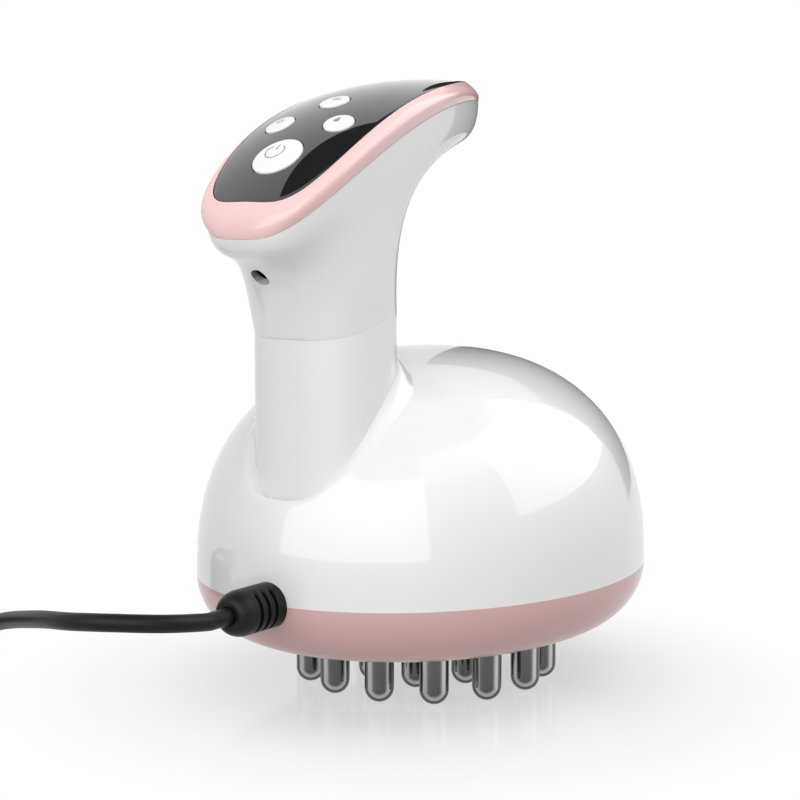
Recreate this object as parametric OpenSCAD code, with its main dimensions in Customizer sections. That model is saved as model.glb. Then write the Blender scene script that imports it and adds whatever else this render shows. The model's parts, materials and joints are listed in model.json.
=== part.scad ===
// Electric massage brush: an oval domed body that stands on steel massage pins, an upright
// stem at one end of it, and an overhanging head whose sloping black panel has four buttons.
// Millimetres. +Z is up, the floor under the pins is z = 0, and but for the strap recess the
// object is mirror symmetric about y = 0. The head's wide end and the mains lead point along -X.

/* [Body] */
// Half length of the body at its seam
body_a = 66; // [60:0.5:72]
// Half width of the body at its seam
body_b = 55.6; // [50:0.5:60]
// Height of the seam between the base cover and the dome
seam_z = 30.5; // [28.5:0.5:34]
// Height of the dome above the seam
dome_h = 57; // [50:0.5:64]
// Roundness of the dome in plan, 2 is an ellipsoid
dome_p = 2.3; // [2:0.05:2.6]
// Power of the dome's height curve
dome_q = 0.411; // [0.38:0.005:0.5]
// Height of the flat underside of the base cover
base_z = 15; // [12:0.5:16]
// Share of the base cover's plan that is flat underneath
base_flat = 0.73; // [0.7:0.01:0.8]
// Power of the base cover's rounded corner
base_corner = 2; // [1.8:0.1:2.6]
// Wall of the body, base and neck shells
wall = 2.4; // [2:0.1:3]

/* [Stem] */
// Distance of the stem's centre behind the centre of the pins
stem_back = 43; // [40:0.5:44]
// Half length of the stem's section
stem_a = 15.4; // [14:0.1:16]
// Half width of the stem's section
stem_b = 16.4; // [15:0.1:18]
// Squareness of the stem's section, 2 is an ellipse
stem_n = 2.6; // [2:0.1:3.2]
// Fillet where the stem meets the dome
stem_fillet = 4.4; // [4:0.2:7]
// Height of the stem's foot above the outer edge of that fillet
foot_h = 3.8; // [3:0.2:6]
// Height of the parting line between stem and neck, at the stem's centre
parting_z = 96.2; // [94:0.2:98]
// Rise of the parting line per millimetre towards the front
parting_slope = 0.22; // [0.1:0.01:0.3]

/* [Head] */
// Distance of the head's wide end behind the centre of the pins, at the lower seam
head_back = 75.7; // [74:0.1:77]
// Distance of the head's tip ahead of the centre of the pins, at the lower seam
head_front = 21.6; // [20:0.1:24]
// Half width of the head at the lower seam
head_w = 19.1; // [18.5:0.1:20.5]
// Height of the lower seam at the tip
seam_top = 151.8; // [151:0.1:153]
// Fall of the lower seam from the tip to the wide end
seam_fall = 35; // [34:0.1:36]
// Power of the lower seam's curve
seam_curve = 2.3; // [2.1:0.05:2.6]
// Distance of the panel's wide end behind the centre of the pins
panel_back = 72.7; // [71.5:0.1:74]
// Distance of the panel's tip ahead of the centre of the pins
panel_front = 10.8; // [9:0.1:13]
// Half width of the panel
panel_w = 18.2; // [17.4:0.1:19]
// Height of the panel at its tip
panel_top = 156.8; // [156:0.1:158]
// Fall of the panel from the tip to the wide end
panel_fall = 31.4; // [30.4:0.1:32.4]
// Power of the panel's curve
panel_curve = 2.75; // [2.5:0.05:3]
// Crown of the panel, the drop per square millimetre off the centre line
panel_crown = 0.0076; // [0.004:0.0002:0.012]
// Thickness of the panel, measured straight down
panel_t = 2.2; // [1.8:0.1:2.6]
// Gap round the panel
panel_gap = 0.15; // [0.1:0.05:0.3]
// Width of the ledge that carries the panel
ledge_w = 2; // [1.5:0.1:2.5]
// Reach of the neck's upright part above the parting line, under the wide end
rise_back = 25; // [22:1:28]
// The same under the tip
rise_front = 56.5; // [50:0.5:60]
// Height over which the underside rounds into the lower seam, at the wide end
round_back = 9; // [7:0.5:11]
// The same at the tip
round_front = 24.5; // [20:0.5:28]
// Reach of that rounding inwards at the wide end
round_in = 2.4; // [1:0.1:4]
// Lean of the neck towards the wide end
neck_lean = 0.17; // [0.12:0.01:0.22]
// Spread of the neck as it rises
neck_spread = 0.06; // [0.02:0.01:0.1]
// Height of the strap recess in the back of the neck
recess_z = 108; // [106:0.5:111]
// Distance of the strap recess from the mirror plane
recess_y = 4; // [0:0.5:5]
// Width of the strap recess
recess_w = 6; // [4:0.5:8]
// Depth of the strap recess
recess_depth = 5; // [3:0.5:7]

/* [Buttons] */
// Diameter of the power button
power_d = 12.8; // [12:0.2:14]
// Diameter of the small buttons
small_d = 7.6; // [7:0.2:9]
// Distance of the power button behind the centre of the pins
power_back = 61.2; // [60:0.1:62]
// Distance of the pair of buttons behind the centre of the pins
pair_back = 49.1; // [48.5:0.1:50]
// Half spacing of the pair of buttons
pair_y = 8.8; // [8:0.1:9.2]
// Distance of the forward button behind the centre of the pins
mode_back = 39; // [37:0.1:40]
// Gap round each button
button_gap = 0.25; // [0.2:0.05:0.35]
// Height of a button above the panel
button_proud = 0.5; // [0.3:0.1:1]
// Travel of a button
button_travel = 0.6; // [0.4:0.1:0.7]

/* [Massage pins] */
// Diameter of a massage pin
pin_d = 7.5; // [6:0.1:8]
// Number of pins on the outer circle
outer_count = 14; // [10:1:15]
// Radius of the outer circle of pins
outer_r = 31.35; // [29:0.05:33]
// Number of pins on the inner circle
inner_count = 7; // [5:1:8]
// Radius of the inner circle of pins
inner_r = 15.7; // [14:0.1:17]
// Gap round each pin in the base cover
pin_gap = 0.2; // [0.1:0.05:0.4]
// Diameter of a pin's threaded shank
shank_d = 4; // [3:0.5:5]
// Thickness of the aluminium heat plate
plate_t = 3; // [2:0.5:4]
// Radius of the heat plate
plate_r = 36.5; // [36:0.1:37.5]

/* [Inside] */
// Thickness of the chassis plate
chassis_t = 2.5; // [2:0.1:3]
// Half length of the chassis plate
chassis_a = 50; // [48:0.5:51]
// Half width of the chassis plate
chassis_b = 46; // [42:0.5:48]
// Distance of the screw posts from the body's cross plane
post_x = 36; // [35:0.5:37]
// Distance of the screw posts from the body's long plane
post_y = 22.5; // [22:0.5:24]
// Radius of a screw post
post_r = 4; // [3.5:0.1:4.2]
// Diameter of the case screws
screw_d = 3; // [2.5:0.1:3.5]
// Radius of the motor's can
motor_r = 12; // [11:0.5:12.5]
// Length of the motor's can
motor_len = 30; // [28:1:32]
// Height of the motor's axis
motor_z = 51; // [49.5:0.5:53]
// Diameter of the motor's shaft
shaft_d = 3; // [2:0.5:4]
// Running gap round the motor's shaft
shaft_gap = 0.05; // [0.02:0.01:0.08]
// Radius of the eccentric weight
weight_r = 11; // [9:0.5:11.5]
// Width of the eccentric weight
weight_w = 9; // [6:0.5:10]
// Thickness of the circuit boards
board_t = 1.6; // [1:0.1:2]
// Height of the posts under the main board
board_lift = 6; // [4:0.5:8]

/* [Mains lead] */
// Diameter of the mains lead
cord_d = 4.2; // [4.2:0.1:4.2]
// Diameter of the strain relief
relief_d = 11; // [10:0.5:12]
// Length of the strain relief outside the body
relief_out = 14.6; // [13.5:0.1:17]
// Diameter of a plug pin
plug_pin_d = 4; // [3.5:0.1:4.8]
// Length of a plug pin
plug_pin_len = 19; // [17:0.5:19]
// Distance between the plug pins
plug_pitch = 18.6; // [17.5:0.1:19]

/* [Hidden] */

// The origin lies midway between the strain relief's end and the front of the body.
relief_reach = body_a + relief_out;
body_x = relief_out / 2;

SIDES = 48;          // points round the body and the stem
HEAD_SIDES = 56;     // points round the head
seat = 0.3;          // running gap between pieces that lie near each other
white = "whitesmoke";
pink = "pink";

// A closed solid from a list of rings of n points each, which run counter-clockwise and climb
// on the outside. With open ends the first and last rings are capped, and a looped list closes
// on its first ring instead.
module skin(rings, looped = false) {
    n = len(rings[0]);
    m = len(rings);
    last = looped ? m : m - 1;
    sides = [for (j = [0:last - 1]) for (i = [0:n - 1]) for (half = [0, 1])
        let (a = j * n + i, b = j * n + (i + 1) % n,
             c = ((j + 1) % m) * n + (i + 1) % n, d = ((j + 1) % m) * n + i)
        half == 0 ? [a, c, b] : [a, d, c]];
    caps = looped ? [] : [[for (i = [0:n - 1]) i], [for (i = [n - 1:-1:0]) (m - 1) * n + i]];
    polyhedron(points = [for (r = rings) for (p = r) p], faces = concat(sides, caps), convexity = 10);
}

// The same for a sheet whose first and last rings each close on one middle point.
module dished(rings, first, final) {
    n = len(rings[0]);
    m = len(rings);
    pts = concat([for (r = rings) for (p = r) p], [first, final]);
    sides = [for (j = [0:m - 2]) for (i = [0:n - 1]) for (half = [0, 1])
        let (a = j * n + i, b = j * n + (i + 1) % n, c = (j + 1) * n + (i + 1) % n, d = (j + 1) * n + i)
        half == 0 ? [a, c, b] : [a, d, c]];
    ends = [for (i = [0:n - 1]) for (k = [0, 1])
        k == 0 ? [m * n, i, (i + 1) % n] : [m * n + 1, (m - 1) * n + (i + 1) % n, (m - 1) * n + i]];
    polyhedron(points = pts, faces = concat(sides, ends), convexity = 10);
}

module in_body() {
    translate([body_x, 0, 0]) children();
}

function angle(i, n) = 360 * i / n;
function backwards(list) = [for (i = [len(list) - 1:-1:0]) list[i]];
function rounded(a, b, n, t) =
    [a * sign(cos(t)) * pow(abs(cos(t)), 2 / n), b * sign(sin(t)) * pow(abs(sin(t)), 2 / n)];
function unit(v) = v / norm(v);
function bezier(p, u) =
    pow(1 - u, 3) * p[0] + 3 * u * pow(1 - u, 2) * p[1] + 3 * u * u * (1 - u) * p[2] + pow(u, 3) * p[3];

// Body, measured from the centre of the pins. inset 0 is the outer surface and wall the inner.
function dome_z(p, inset) =
    let (s = min(1, norm([p[0] / (body_a - inset), p[1] / (body_b - inset)])))
    seam_z + (dome_h - inset) * pow(1 - pow(s, dome_p), dome_q);
// How far a ray from the stem's centre runs before it meets the body's outline.
function rim_reach(dir, inset) =
    let (u = [dir[0] / (body_a - inset), dir[1] / (body_b - inset)],
         c = [-stem_back / (body_a - inset), 0],
         h = u * c, k = u * u)
    (-h + sqrt(h * h - k * (c * c - 1))) / k;
function parting(x) = parting_z + parting_slope * (x + stem_back);
function stem_point(t, inset) =
    [-stem_back, 0] + rounded(stem_a - inset, stem_b - inset, stem_n, t);

// The stem's foot stands above the fillet's outer edge, except behind, where the dome falls steeply.
foot_back = 30;      // degrees from the back over which the foot rises
function foot_rise(t) = foot_h * min(1, abs(t - 180) / foot_back);

FILLET_STEPS = 4;
DOME_STEPS = 11;
// Rings of the dome and stem, from the parting line down the stem, round the fillet and over
// the dome to the seam.
function body_rings(inset) = concat(
    [[for (i = [0:SIDES - 1]) let (w = stem_point(angle(i, SIDES), inset)) [w[0], w[1], parting(w[0])]]],
    [for (k = [0:FILLET_STEPS]) [for (i = [0:SIDES - 1])
        let (t = angle(i, SIDES), w = stem_point(t, inset), dir = unit(w - [-stem_back, 0]),
             a = 90 * k / FILLET_STEPS, p = w + stem_fillet * (1 - cos(a)) * dir)
        [p[0], p[1], dome_z(w + stem_fillet * dir, inset) + foot_rise(t) * (1 - sin(a))]]],
    [for (k = [1:DOME_STEPS]) [for (i = [0:SIDES - 1])
        let (w = stem_point(angle(i, SIDES), inset), dir = unit(w - [-stem_back, 0]),
             start = norm(w - [-stem_back, 0]) + stem_fillet, end = rim_reach(dir, inset),
             g = sin(90 * k / DOME_STEPS), p = [-stem_back, 0] + (start + (end - start) * g) * dir)
        [p[0], p[1], k == DOME_STEPS ? seam_z : dome_z(p, inset)]]]
);

module posts(z0, z1, r) {
    for (x = [-post_x, post_x]) for (y = [-post_y, post_y])
        translate([x, y, z0]) cylinder(r = r, h = z1 - z0, $fn = 32);
}

relief_z = seam_z;
relief_gap = 0.1;
relief_hole = relief_d / 2 + relief_gap;
port_out = 4;        // the port's cutter beyond the body's outline
port_in = 6;
module relief_port() {
    translate([-body_a - port_out, 0, relief_z]) rotate([0, 90, 0])
        cylinder(r = relief_hole, h = port_out + port_in, $fn = 48);
}

chassis_z = seam_z - chassis_t;
// The bosses in the dome end inside its wall, measured at their outermost edge.
boss_edge = post_r * sqrt(0.5);
boss_top = dome_z([post_x + boss_edge, post_y + boss_edge], wall) + 0.7 * wall;

module body_shell() color(white) in_body() {
    difference() {
        union() {
            skin(concat(body_rings(wall), backwards(body_rings(0))), looped = true);
            posts(seam_z, boss_top, post_r);
        }
        relief_port();
        posts(seam_z - 1, seam_z + 9, screw_d / 2);
    }
}

BASE_STEPS = 8;
function base_ring(a, inset) =
    let (low = base_z + inset, s = base_flat + (1 - base_flat) * pow(cos(a), 2 / base_corner),
         z = seam_z - (seam_z - low) * pow(sin(a), 2 / base_corner))
    [for (i = [0:SIDES - 1]) let (t = angle(i, SIDES))
        [(body_a - inset) * s * cos(t), (body_b - inset) * s * sin(t), z]];
base_floor = base_z + wall;
screw_head_r = screw_d;
screw_head_h = 2;
screw_clear = 0.2;   // left round a case screw and over its head

module outer_places() {
    for (i = [0:outer_count - 1]) rotate([0, 0, angle(i + 0.5, outer_count)])
        translate([outer_r, 0, 0]) children();
}
module inner_places() {
    for (i = [0:inner_count - 1]) rotate([0, 0, angle(i, inner_count)]) translate([inner_r, 0, 0]) children();
}
module pin_places() {
    outer_places() children();
    inner_places() children();
}

module base_cover() color(pink) in_body() {
    difference() {
        union() {
            skin(concat([for (k = [BASE_STEPS:-1:0]) base_ring(90 * k / BASE_STEPS, 0)],
                [for (k = [0:BASE_STEPS]) base_ring(90 * k / BASE_STEPS, wall)]));
            posts(base_floor - 1, chassis_z, post_r);
        }
        relief_port();
        pin_places() translate([0, 0, base_z - 1]) cylinder(r = pin_d / 2 + pin_gap, h = wall + 2, $fn = 32);
        posts(base_z - 1, chassis_z + 1, screw_d / 2 + screw_clear);
        posts(base_z - 1, base_z + screw_head_h + screw_clear, screw_head_r + screw_clear);
    }
}

// Head. The panel and the lower seam are outlines in plan that carry a height along x.
// Each outline is set by its two ends, its half width and the same egg shaped formula.
// An egg is the pair of powers that shape its wide end and its tip.
HEAD_EGG = [0.3, 0.6];
PANEL_EGG = [0.25, 0.44];
function egg(u, shape) =
    let (peak = shape[0] / (shape[0] + shape[1]))
    pow(u, shape[0]) * pow(1 - u, shape[1]) / (pow(peak, shape[0]) * pow(1 - peak, shape[1]));
function outline(back, front, w, shape, t) =
    let (u = (1 + cos(t)) / 2)
    [-back + (back + front) * u, sign(sin(t)) * w * egg(u, shape)];
function seam_height(x) =
    seam_top - seam_fall * pow(max(0, (head_front - x) / (head_front + head_back)), seam_curve);
function panel_height(x, y) =
    panel_top - panel_fall * pow(max(0, (panel_front - x) / (panel_front + panel_back)), panel_curve)
    - panel_crown * y * y;
function seam_point(t, inset) =
    let (p = outline(head_back - inset, head_front - inset, head_w - inset, HEAD_EGG, t))
        [p[0], p[1], seam_height(p[0])];
function panel_edge(t, out, drop) =
    let (q = outline(panel_back, panel_front, panel_w, PANEL_EGG, t),
         p = outline(panel_back + out, panel_front + out, panel_w + out, PANEL_EGG, t))
    [p[0], p[1], panel_height(q[0], q[1]) - drop];

NECK_STEPS = 12;
function neck_ring(k, inset) = [for (i = [0:HEAD_SIDES - 1])
    let (t = angle(i, HEAD_SIDES), w = stem_point(t, inset), low = [w[0], w[1], parting(w[0])],
         top = seam_point(t, inset), fore = pow((1 + cos(t)) / 2, 2),
         out = unit(w - [-stem_back, 0]) * neck_spread,
         rise = rise_back + (rise_front - rise_back) * fore,
         fall = round_back + (round_front - round_back) * fore)
    bezier([low, low + rise * [out[0] - neck_lean, out[1], 1], top + [round_in * (1 - fore), 0, -fall], top],
        k / NECK_STEPS)];

recess_out = 3;      // from the stem's back face to the neck's at the height of the recess
recess_tilt = 60;
module neck_shell() color(white) in_body() {
    difference() {
        skin(concat([for (k = [0:NECK_STEPS]) neck_ring(k, 0)],
            [for (k = [NECK_STEPS:-1:0]) neck_ring(k, wall)]), looped = true);
        translate([-stem_back - stem_a - recess_out, recess_y, recess_z]) rotate([0, recess_tilt, 0])
            translate([0, 0, -recess_depth]) cylinder(r = recess_w / 2, h = 2 * recess_depth, $fn = 32);
    }
}

module neck_sleeve() color("gainsboro") in_body() {
    drop = 9;
    rise = 6;
    sleeve_t = 2;
    ring = function (inset, dz) [for (i = [0:SIDES - 1])
        let (w = stem_point(angle(i, SIDES), inset)) [w[0], w[1], parting(w[0]) + dz]];
    skin([ring(wall + seat, -drop), ring(wall + seat, rise), ring(wall + seat + sleeve_t, rise),
        ring(wall + seat + sleeve_t, -drop)], looped = true);
}

BAND_STEPS = 4;
// The band curves from the lower seam to the panel's edge. Its two middle handles stand out
// sideways from those edges, the low one above the seam and the high one part of the way down.
band_low_out = 0.5;
band_low_rise = 0.7;
band_high_out = 4.6;
band_high_share = 0.42;
band_high_drop = 0.5;
joint = 0.1;         // glue line between the band and what it meets
function band_ring(k) = [for (i = [0:HEAD_SIDES - 1])
    let (t = angle(i, HEAD_SIDES), low = seam_point(t, 0) + [0, 0, joint], top = panel_edge(t, panel_gap, 0),
         wide = seam_point(t, -band_low_out), high = panel_edge(t, band_high_out, band_high_drop))
    bezier([low, [wide[0], wide[1], low[2] + band_low_rise],
        high + [0, 0, (low[2] - top[2]) * band_high_share], top], k / BAND_STEPS)];

module head_band() color(pink) in_body() {
    edge = function (out, drop) [for (i = [0:HEAD_SIDES - 1]) panel_edge(angle(i, HEAD_SIDES), out, drop)];
    skin(concat([for (k = [0:BAND_STEPS]) band_ring(k)],
        [edge(panel_gap, panel_t + joint), edge(-ledge_w, panel_t + joint)],
        [[for (i = [0:HEAD_SIDES - 1]) seam_point(angle(i, HEAD_SIDES), wall) + [0, 0, joint]]]), looped = true);
}

// Buttons. Each has its place on the panel and moves along the panel's normal there.
POWER = 0;
HEAT = 1;
STRENGTH = 2;
MODE = 3;
button_at = [[-power_back, 0], [-pair_back, pair_y], [-pair_back, -pair_y], [-mode_back, 0]];
button_r = [power_d / 2, small_d / 2, small_d / 2, small_d / 2];
function panel_point(p) = [p[0], p[1], panel_height(p[0], p[1])];
function panel_normal(p) =
    let (h = 0.01,
         dx = (panel_height(p[0] + h, p[1]) - panel_height(p[0] - h, p[1])) / (2 * h),
         dy = (panel_height(p[0], p[1] + h) - panel_height(p[0], p[1] - h)) / (2 * h))
    unit([-dx, -dy, 1]);

// Turns +Z to the direction n and moves to the point p.
module aim(p, n) {
    translate(p) rotate([-asin(n[1]), 0, 0] + [0, atan2(n[0], n[2]), 0]) children();
}

flange_depth = panel_t + 0.9;
flange_t = 1;
flange_w = 0.9;
plunger_r = 1.6;
switch_h = 5;
// The switches stand on a flat board under the panel, parallel to the buttons' chord.
board_drop = 11.5;
chord = panel_point(button_at[MODE]) - panel_point(button_at[POWER]);
board_n = unit([-chord[2], 0, chord[0]]);
board_tilt = atan2(board_n[0], board_n[2]);
board_mid = (panel_point(button_at[POWER]) + panel_point(button_at[MODE])) / 2 - board_drop * board_n;
// The point where a button's axis meets the plane of the switches' tops.
function press_point(b) =
    let (p = panel_point(button_at[b]), n = panel_normal(button_at[b]),
         reach = ((p - board_mid) * board_n - switch_h) / (n * board_n))
    p - reach * n;
press_gap = 0.6;     // left between a plunger and its switch when the button is fully in
function plunger_len(b) =
    norm(panel_point(button_at[b]) - press_point(b)) - button_travel - press_gap - flange_depth - flange_t;

module button(b) {
    aim(panel_point(button_at[b]), panel_normal(button_at[b])) {
        translate([0, 0, -flange_depth]) cylinder(r = button_r[b], h = flange_depth + button_proud, $fn = 64);
        translate([0, 0, -flange_depth - flange_t])
            cylinder(r = button_r[b] + flange_w, h = flange_t, $fn = 64);
        translate([0, 0, -flange_depth - flange_t - plunger_len(b)])
            cylinder(r = plunger_r, h = plunger_len(b), $fn = 32);
    }
}
module power_button() color("white") in_body() button(POWER);
module heat_button() color("white") in_body() button(HEAT);
module strength_button() color("white") in_body() button(STRENGTH);
module mode_button() color("white") in_body() button(MODE);

PANEL_RINGS = 5;
function panel_ring(k, drop) = [for (i = [0:HEAD_SIDES - 1])
    let (e = outline(panel_back, panel_front, panel_w, PANEL_EGG, angle(i, HEAD_SIDES)),
         mid = -power_back, x = mid + (e[0] - mid) * k / PANEL_RINGS, y = e[1] * k / PANEL_RINGS)
    [x, y, panel_height(x, y) - drop]];
// Places on the button board are measured along it from board_mid, the first one uphill.
board_post_at = [[-7.5, 10.5], [-7.5, -10.5], [21, 0]];
board_post_r = 1.7;
board_x = [cos(board_tilt), 0, -sin(board_tilt)];
module on_board(p, z) {
    aim(board_mid, board_n) translate([p[0], p[1], z]) children();
}
// Distance from the board's plane to the panel's surface over the place p, found in k steps.
function panel_over(p, h, k) =
    let (q = board_mid + p[0] * board_x + [0, p[1], 0] + h * board_n)
    k == 0 ? h : panel_over(p, h + (panel_height(q[0], q[1]) - q[2]) * board_n[2], k - 1);
board_screw_r = 1;
board_screw_len = 5;
board_screw_head = 1.3;

module control_panel() color([0.05, 0.05, 0.06]) in_body() {
    difference() {
        union() {
            dished(concat([for (k = [1:PANEL_RINGS]) panel_ring(k, panel_t)],
                [for (k = [PANEL_RINGS:-1:1]) panel_ring(k, 0)]),
                panel_point([-power_back, 0]) - [0, 0, panel_t], panel_point([-power_back, 0]));
            for (at = board_post_at) on_board(at, 0)
                cylinder(r = board_post_r, h = panel_over(at, board_drop, 6) - panel_t / 2, $fn = 32);
        }
        for (at = board_post_at) on_board(at, -1)
            cylinder(r = board_screw_r, h = board_screw_len + 1.5, $fn = 24);
        for (b = [POWER:MODE]) aim(panel_point(button_at[b]), panel_normal(button_at[b]))
            translate([0, 0, -flange_depth])
                cylinder(r = button_r[b] + button_gap, h = 2 * flange_depth, $fn = 64);
    }
}

board_back = 16;
board_front = 24;
board_w = 25;
module button_board() color("seagreen") in_body() {
    difference() {
        on_board([-board_back, -board_w / 2], -board_t) cube([board_back + board_front, board_w, board_t]);
        for (at = board_post_at) on_board(at, -board_t - 1)
            cylinder(r = board_screw_r + 0.1, h = board_t + 2, $fn = 24);
    }
}

switch_side = 6;
switch_body_h = 3.5;
switch_stem_r = 1.75;
module tact_switches() color("silver") in_body() {
    for (b = [POWER:MODE]) {
        along = (press_point(b) - board_mid) * board_x;
        on_board([along - switch_side / 2, button_at[b][1] - switch_side / 2], 0)
            cube([switch_side, switch_side, switch_body_h]);
        on_board([along, button_at[b][1]], switch_body_h / 2)
            cylinder(r = switch_stem_r, h = switch_h - switch_body_h / 2, $fn = 32);
    }
}

// A screw along +Z whose head's underside is at z = 0 and whose shank runs down from there.
module screw(shank_r, shank_len, head_r, head_h) {
    translate([0, 0, -shank_len]) cylinder(r = shank_r, h = shank_len, $fn = 24);
    cylinder(r = head_r, h = head_h, $fn = 32);
}

module button_board_screws() color("silver") in_body() {
    for (at = board_post_at) on_board(at, -board_t) mirror([0, 0, 1])
        screw(board_screw_r, board_screw_len + board_t, 2 * board_screw_r, board_screw_head);
}

// Tubes. A route is a list of points, a smooth curve passes through all of them, and the
// tube's rings stand square to it. level is a direction that the route never follows.
function slope_at(route, i) =
    (route[min(i + 1, len(route) - 1)] - route[max(i - 1, 0)]) / (i == 0 || i == len(route) - 1 ? 1 : 2);
function smooth(route, steps) = concat([for (i = [0:len(route) - 2]) for (k = [0:steps - 1])
    bezier([route[i], route[i] + slope_at(route, i) / 3, route[i + 1] - slope_at(route, i + 1) / 3, route[i + 1]],
        k / steps)], [route[len(route) - 1]]);
function tube_rings(path, r, n, level) = [for (i = [0:len(path) - 1])
    let (go = unit(path[min(i + 1, len(path) - 1)] - path[max(i - 1, 0)]),
         side = unit(cross(go, level)), up = cross(side, go))
    [for (k = [0:n - 1]) path[i] - r * cos(angle(k, n)) * side + r * sin(angle(k, n)) * up]];
module tube(path, r, n, level) {
    skin(tube_rings(path, r, n, level));
}

// Body's inside, measured from the centre of the pins.
lead_x = -31;        // where the harness leaves the main board
main_board_z = seam_z + board_lift;
main_board_top = main_board_z + board_t;
harness_r = 1.6;
harness_route = [[lead_x, 0, main_board_top], [lead_x, 0, 43], [lead_x, 0, 48], [-33, 0, 60], [-38, 0, 74],
    [-42, 0, 88], [-43, 0, 102], [-42, 0, 112]];
module wire_harness() color("dimgray") in_body() {
    meet = board_mid - board_t * board_n;
    tube(smooth(concat(harness_route, [meet - 8 * board_n, meet - 4 * board_n, meet]), 3), harness_r, 8,
        [0, 1, 0]);
}

pin_shoulder = base_floor;
nut_h = 3.2;
nut_flats = 7;
plate_top = base_floor + plate_t;
module pin() {
    translate([0, 0, pin_d / 2]) sphere(r = pin_d / 2, $fn = 48);
    translate([0, 0, pin_d / 2]) cylinder(r = pin_d / 2, h = pin_shoulder - pin_d / 2, $fn = 48);
    translate([0, 0, pin_shoulder - 1]) cylinder(r = shank_d / 2, h = plate_t + nut_h + 2, $fn = 32);
}
module outer_pins() color("dimgray") in_body() outer_places() pin();
module inner_pins() color("dimgray") in_body() inner_places() pin();

module nut() {
    translate([0, 0, plate_top]) difference() {
        cylinder(r = nut_flats / sqrt(3), h = nut_h, $fn = 6);
        translate([0, 0, -1]) cylinder(r = shank_d / 2, h = nut_h + 2, $fn = 32);
    }
}
module pin_nuts() color("silver") in_body() {
    outer_places() nut();
    inner_places() nut();
}

module heat_plate() color("lightgray") in_body() {
    difference() {
        translate([0, 0, base_floor]) cylinder(r = plate_r, h = plate_t, $fn = 96);
        pin_places() translate([0, 0, base_floor - 1]) cylinder(r = shank_d / 2, h = plate_t + 2, $fn = 32);
    }
}

heater_t = 1.6;
heater_clear = 0.6;  // left between the heater and the nuts beside it
nut_reach = nut_flats / sqrt(3) + heater_clear;
module heater_ring() color("saddlebrown") in_body() {
    translate([0, 0, plate_top]) difference() {
        cylinder(r = outer_r - nut_reach, h = heater_t, $fn = 96);
        translate([0, 0, -1]) cylinder(r = inner_r + nut_reach, h = heater_t + 2, $fn = 96);
    }
}

thermostat_r = 6.5;
thermostat_rim = 8;
thermostat_foot = 1;
thermostat_h = 5;
module thermostat() color("black") in_body() {
    translate([0, 0, plate_top]) {
        cylinder(r = thermostat_rim, h = thermostat_foot, $fn = 64);
        cylinder(r = thermostat_r, h = thermostat_h, $fn = 64);
    }
}

main_board_at = [-27, 0];
main_board_size = [38, 35];
board_stand_in = 3;  // from the board's edges to its stands
main_board_post = main_board_size / 2 - [board_stand_in, board_stand_in];
board_edge = main_board_at[0] - main_board_size[0] / 2;
stand_r = 2.5;
stand_screw_r = 1.1;
stand_screw_head = 1.5;
module board_stands(z0, z1, r) {
    for (x = [-1, 1]) for (y = [-1, 1])
        translate([main_board_at[0] + x * main_board_post[0], y * main_board_post[1], z0])
            cylinder(r = r, h = z1 - z0, $fn = 24);
}

cradle_x = [-3, 29];
cradle_w = 42;
cradle_t = 3;
cradle_top = seam_z + cradle_t;
strap_x = 13;        // middle of the strap along the motor
strap_w = 8;
strap_t = 1.5;
strap_screw_y = motor_r + strap_t + 3.5;
strap_screw_len = 5;
module strap_screw_places() {
    for (y = [-strap_screw_y, strap_screw_y]) translate([strap_x, y, 0]) children();
}

module chassis_plate() color("lightgray") in_body() {
    difference() {
        union() {
            translate([0, 0, chassis_z]) linear_extrude(chassis_t)
                polygon([for (i = [0:71]) [chassis_a * cos(angle(i, 72)), chassis_b * sin(angle(i, 72))]]);
            board_stands(seam_z - 1, main_board_z, stand_r);
        }
        posts(chassis_z - 1, seam_z + 1, screw_d / 2 + screw_clear);
        board_stands(seam_z + 0.5, main_board_z + 1, stand_screw_r);
        strap_screw_places() translate([0, 0, chassis_z - 1])
            cylinder(r = stand_screw_r, h = chassis_t + 2, $fn = 24);
    }
}

screw_bite = 8.5;    // length of a case screw above the seam
module case_screws() color("silver") in_body() {
    for (x = [-post_x, post_x]) for (y = [-post_y, post_y])
        translate([x, y, base_z + screw_head_h + screw_clear]) mirror([0, 0, 1])
            screw(screw_d / 2, seam_z + screw_bite - base_z - screw_head_h - screw_clear, screw_head_r,
                screw_head_h);
}

// Motor, its axis along X.
motor_x = -2;
module along_x(x, z) {
    translate([x, 0, z]) rotate([0, 90, 0]) children();
}
module motor_can() color("silver") in_body() {
    difference() {
        along_x(motor_x, motor_z) cylinder(r = motor_r, h = motor_len, $fn = 96);
        along_x(motor_x - 1, motor_z) cylinder(r = shaft_d / 2 + shaft_gap, h = motor_len + 2, $fn = 48);
    }
}

saddle_t = 4;
saddle_h = 6;        // depth of the motor's seat in its saddles
module motor_cradle() color("gainsboro") in_body() {
    difference() {
        union() {
            translate([cradle_x[0], -cradle_w / 2, seam_z])
                cube([cradle_x[1] - cradle_x[0], cradle_w, cradle_t]);
            for (x = [motor_x + 1, motor_x + motor_len - saddle_t - 1])
                translate([x, -motor_r, seam_z])
                    cube([saddle_t, 2 * motor_r, motor_z - motor_r + saddle_h - seam_z]);
        }
        along_x(motor_x - 1, motor_z) cylinder(r = motor_r, h = motor_len + 2, $fn = 96);
        strap_screw_places() translate([0, 0, seam_z - 1])
            cylinder(r = stand_screw_r, h = cradle_t + 2, $fn = 24);
    }
}

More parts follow.
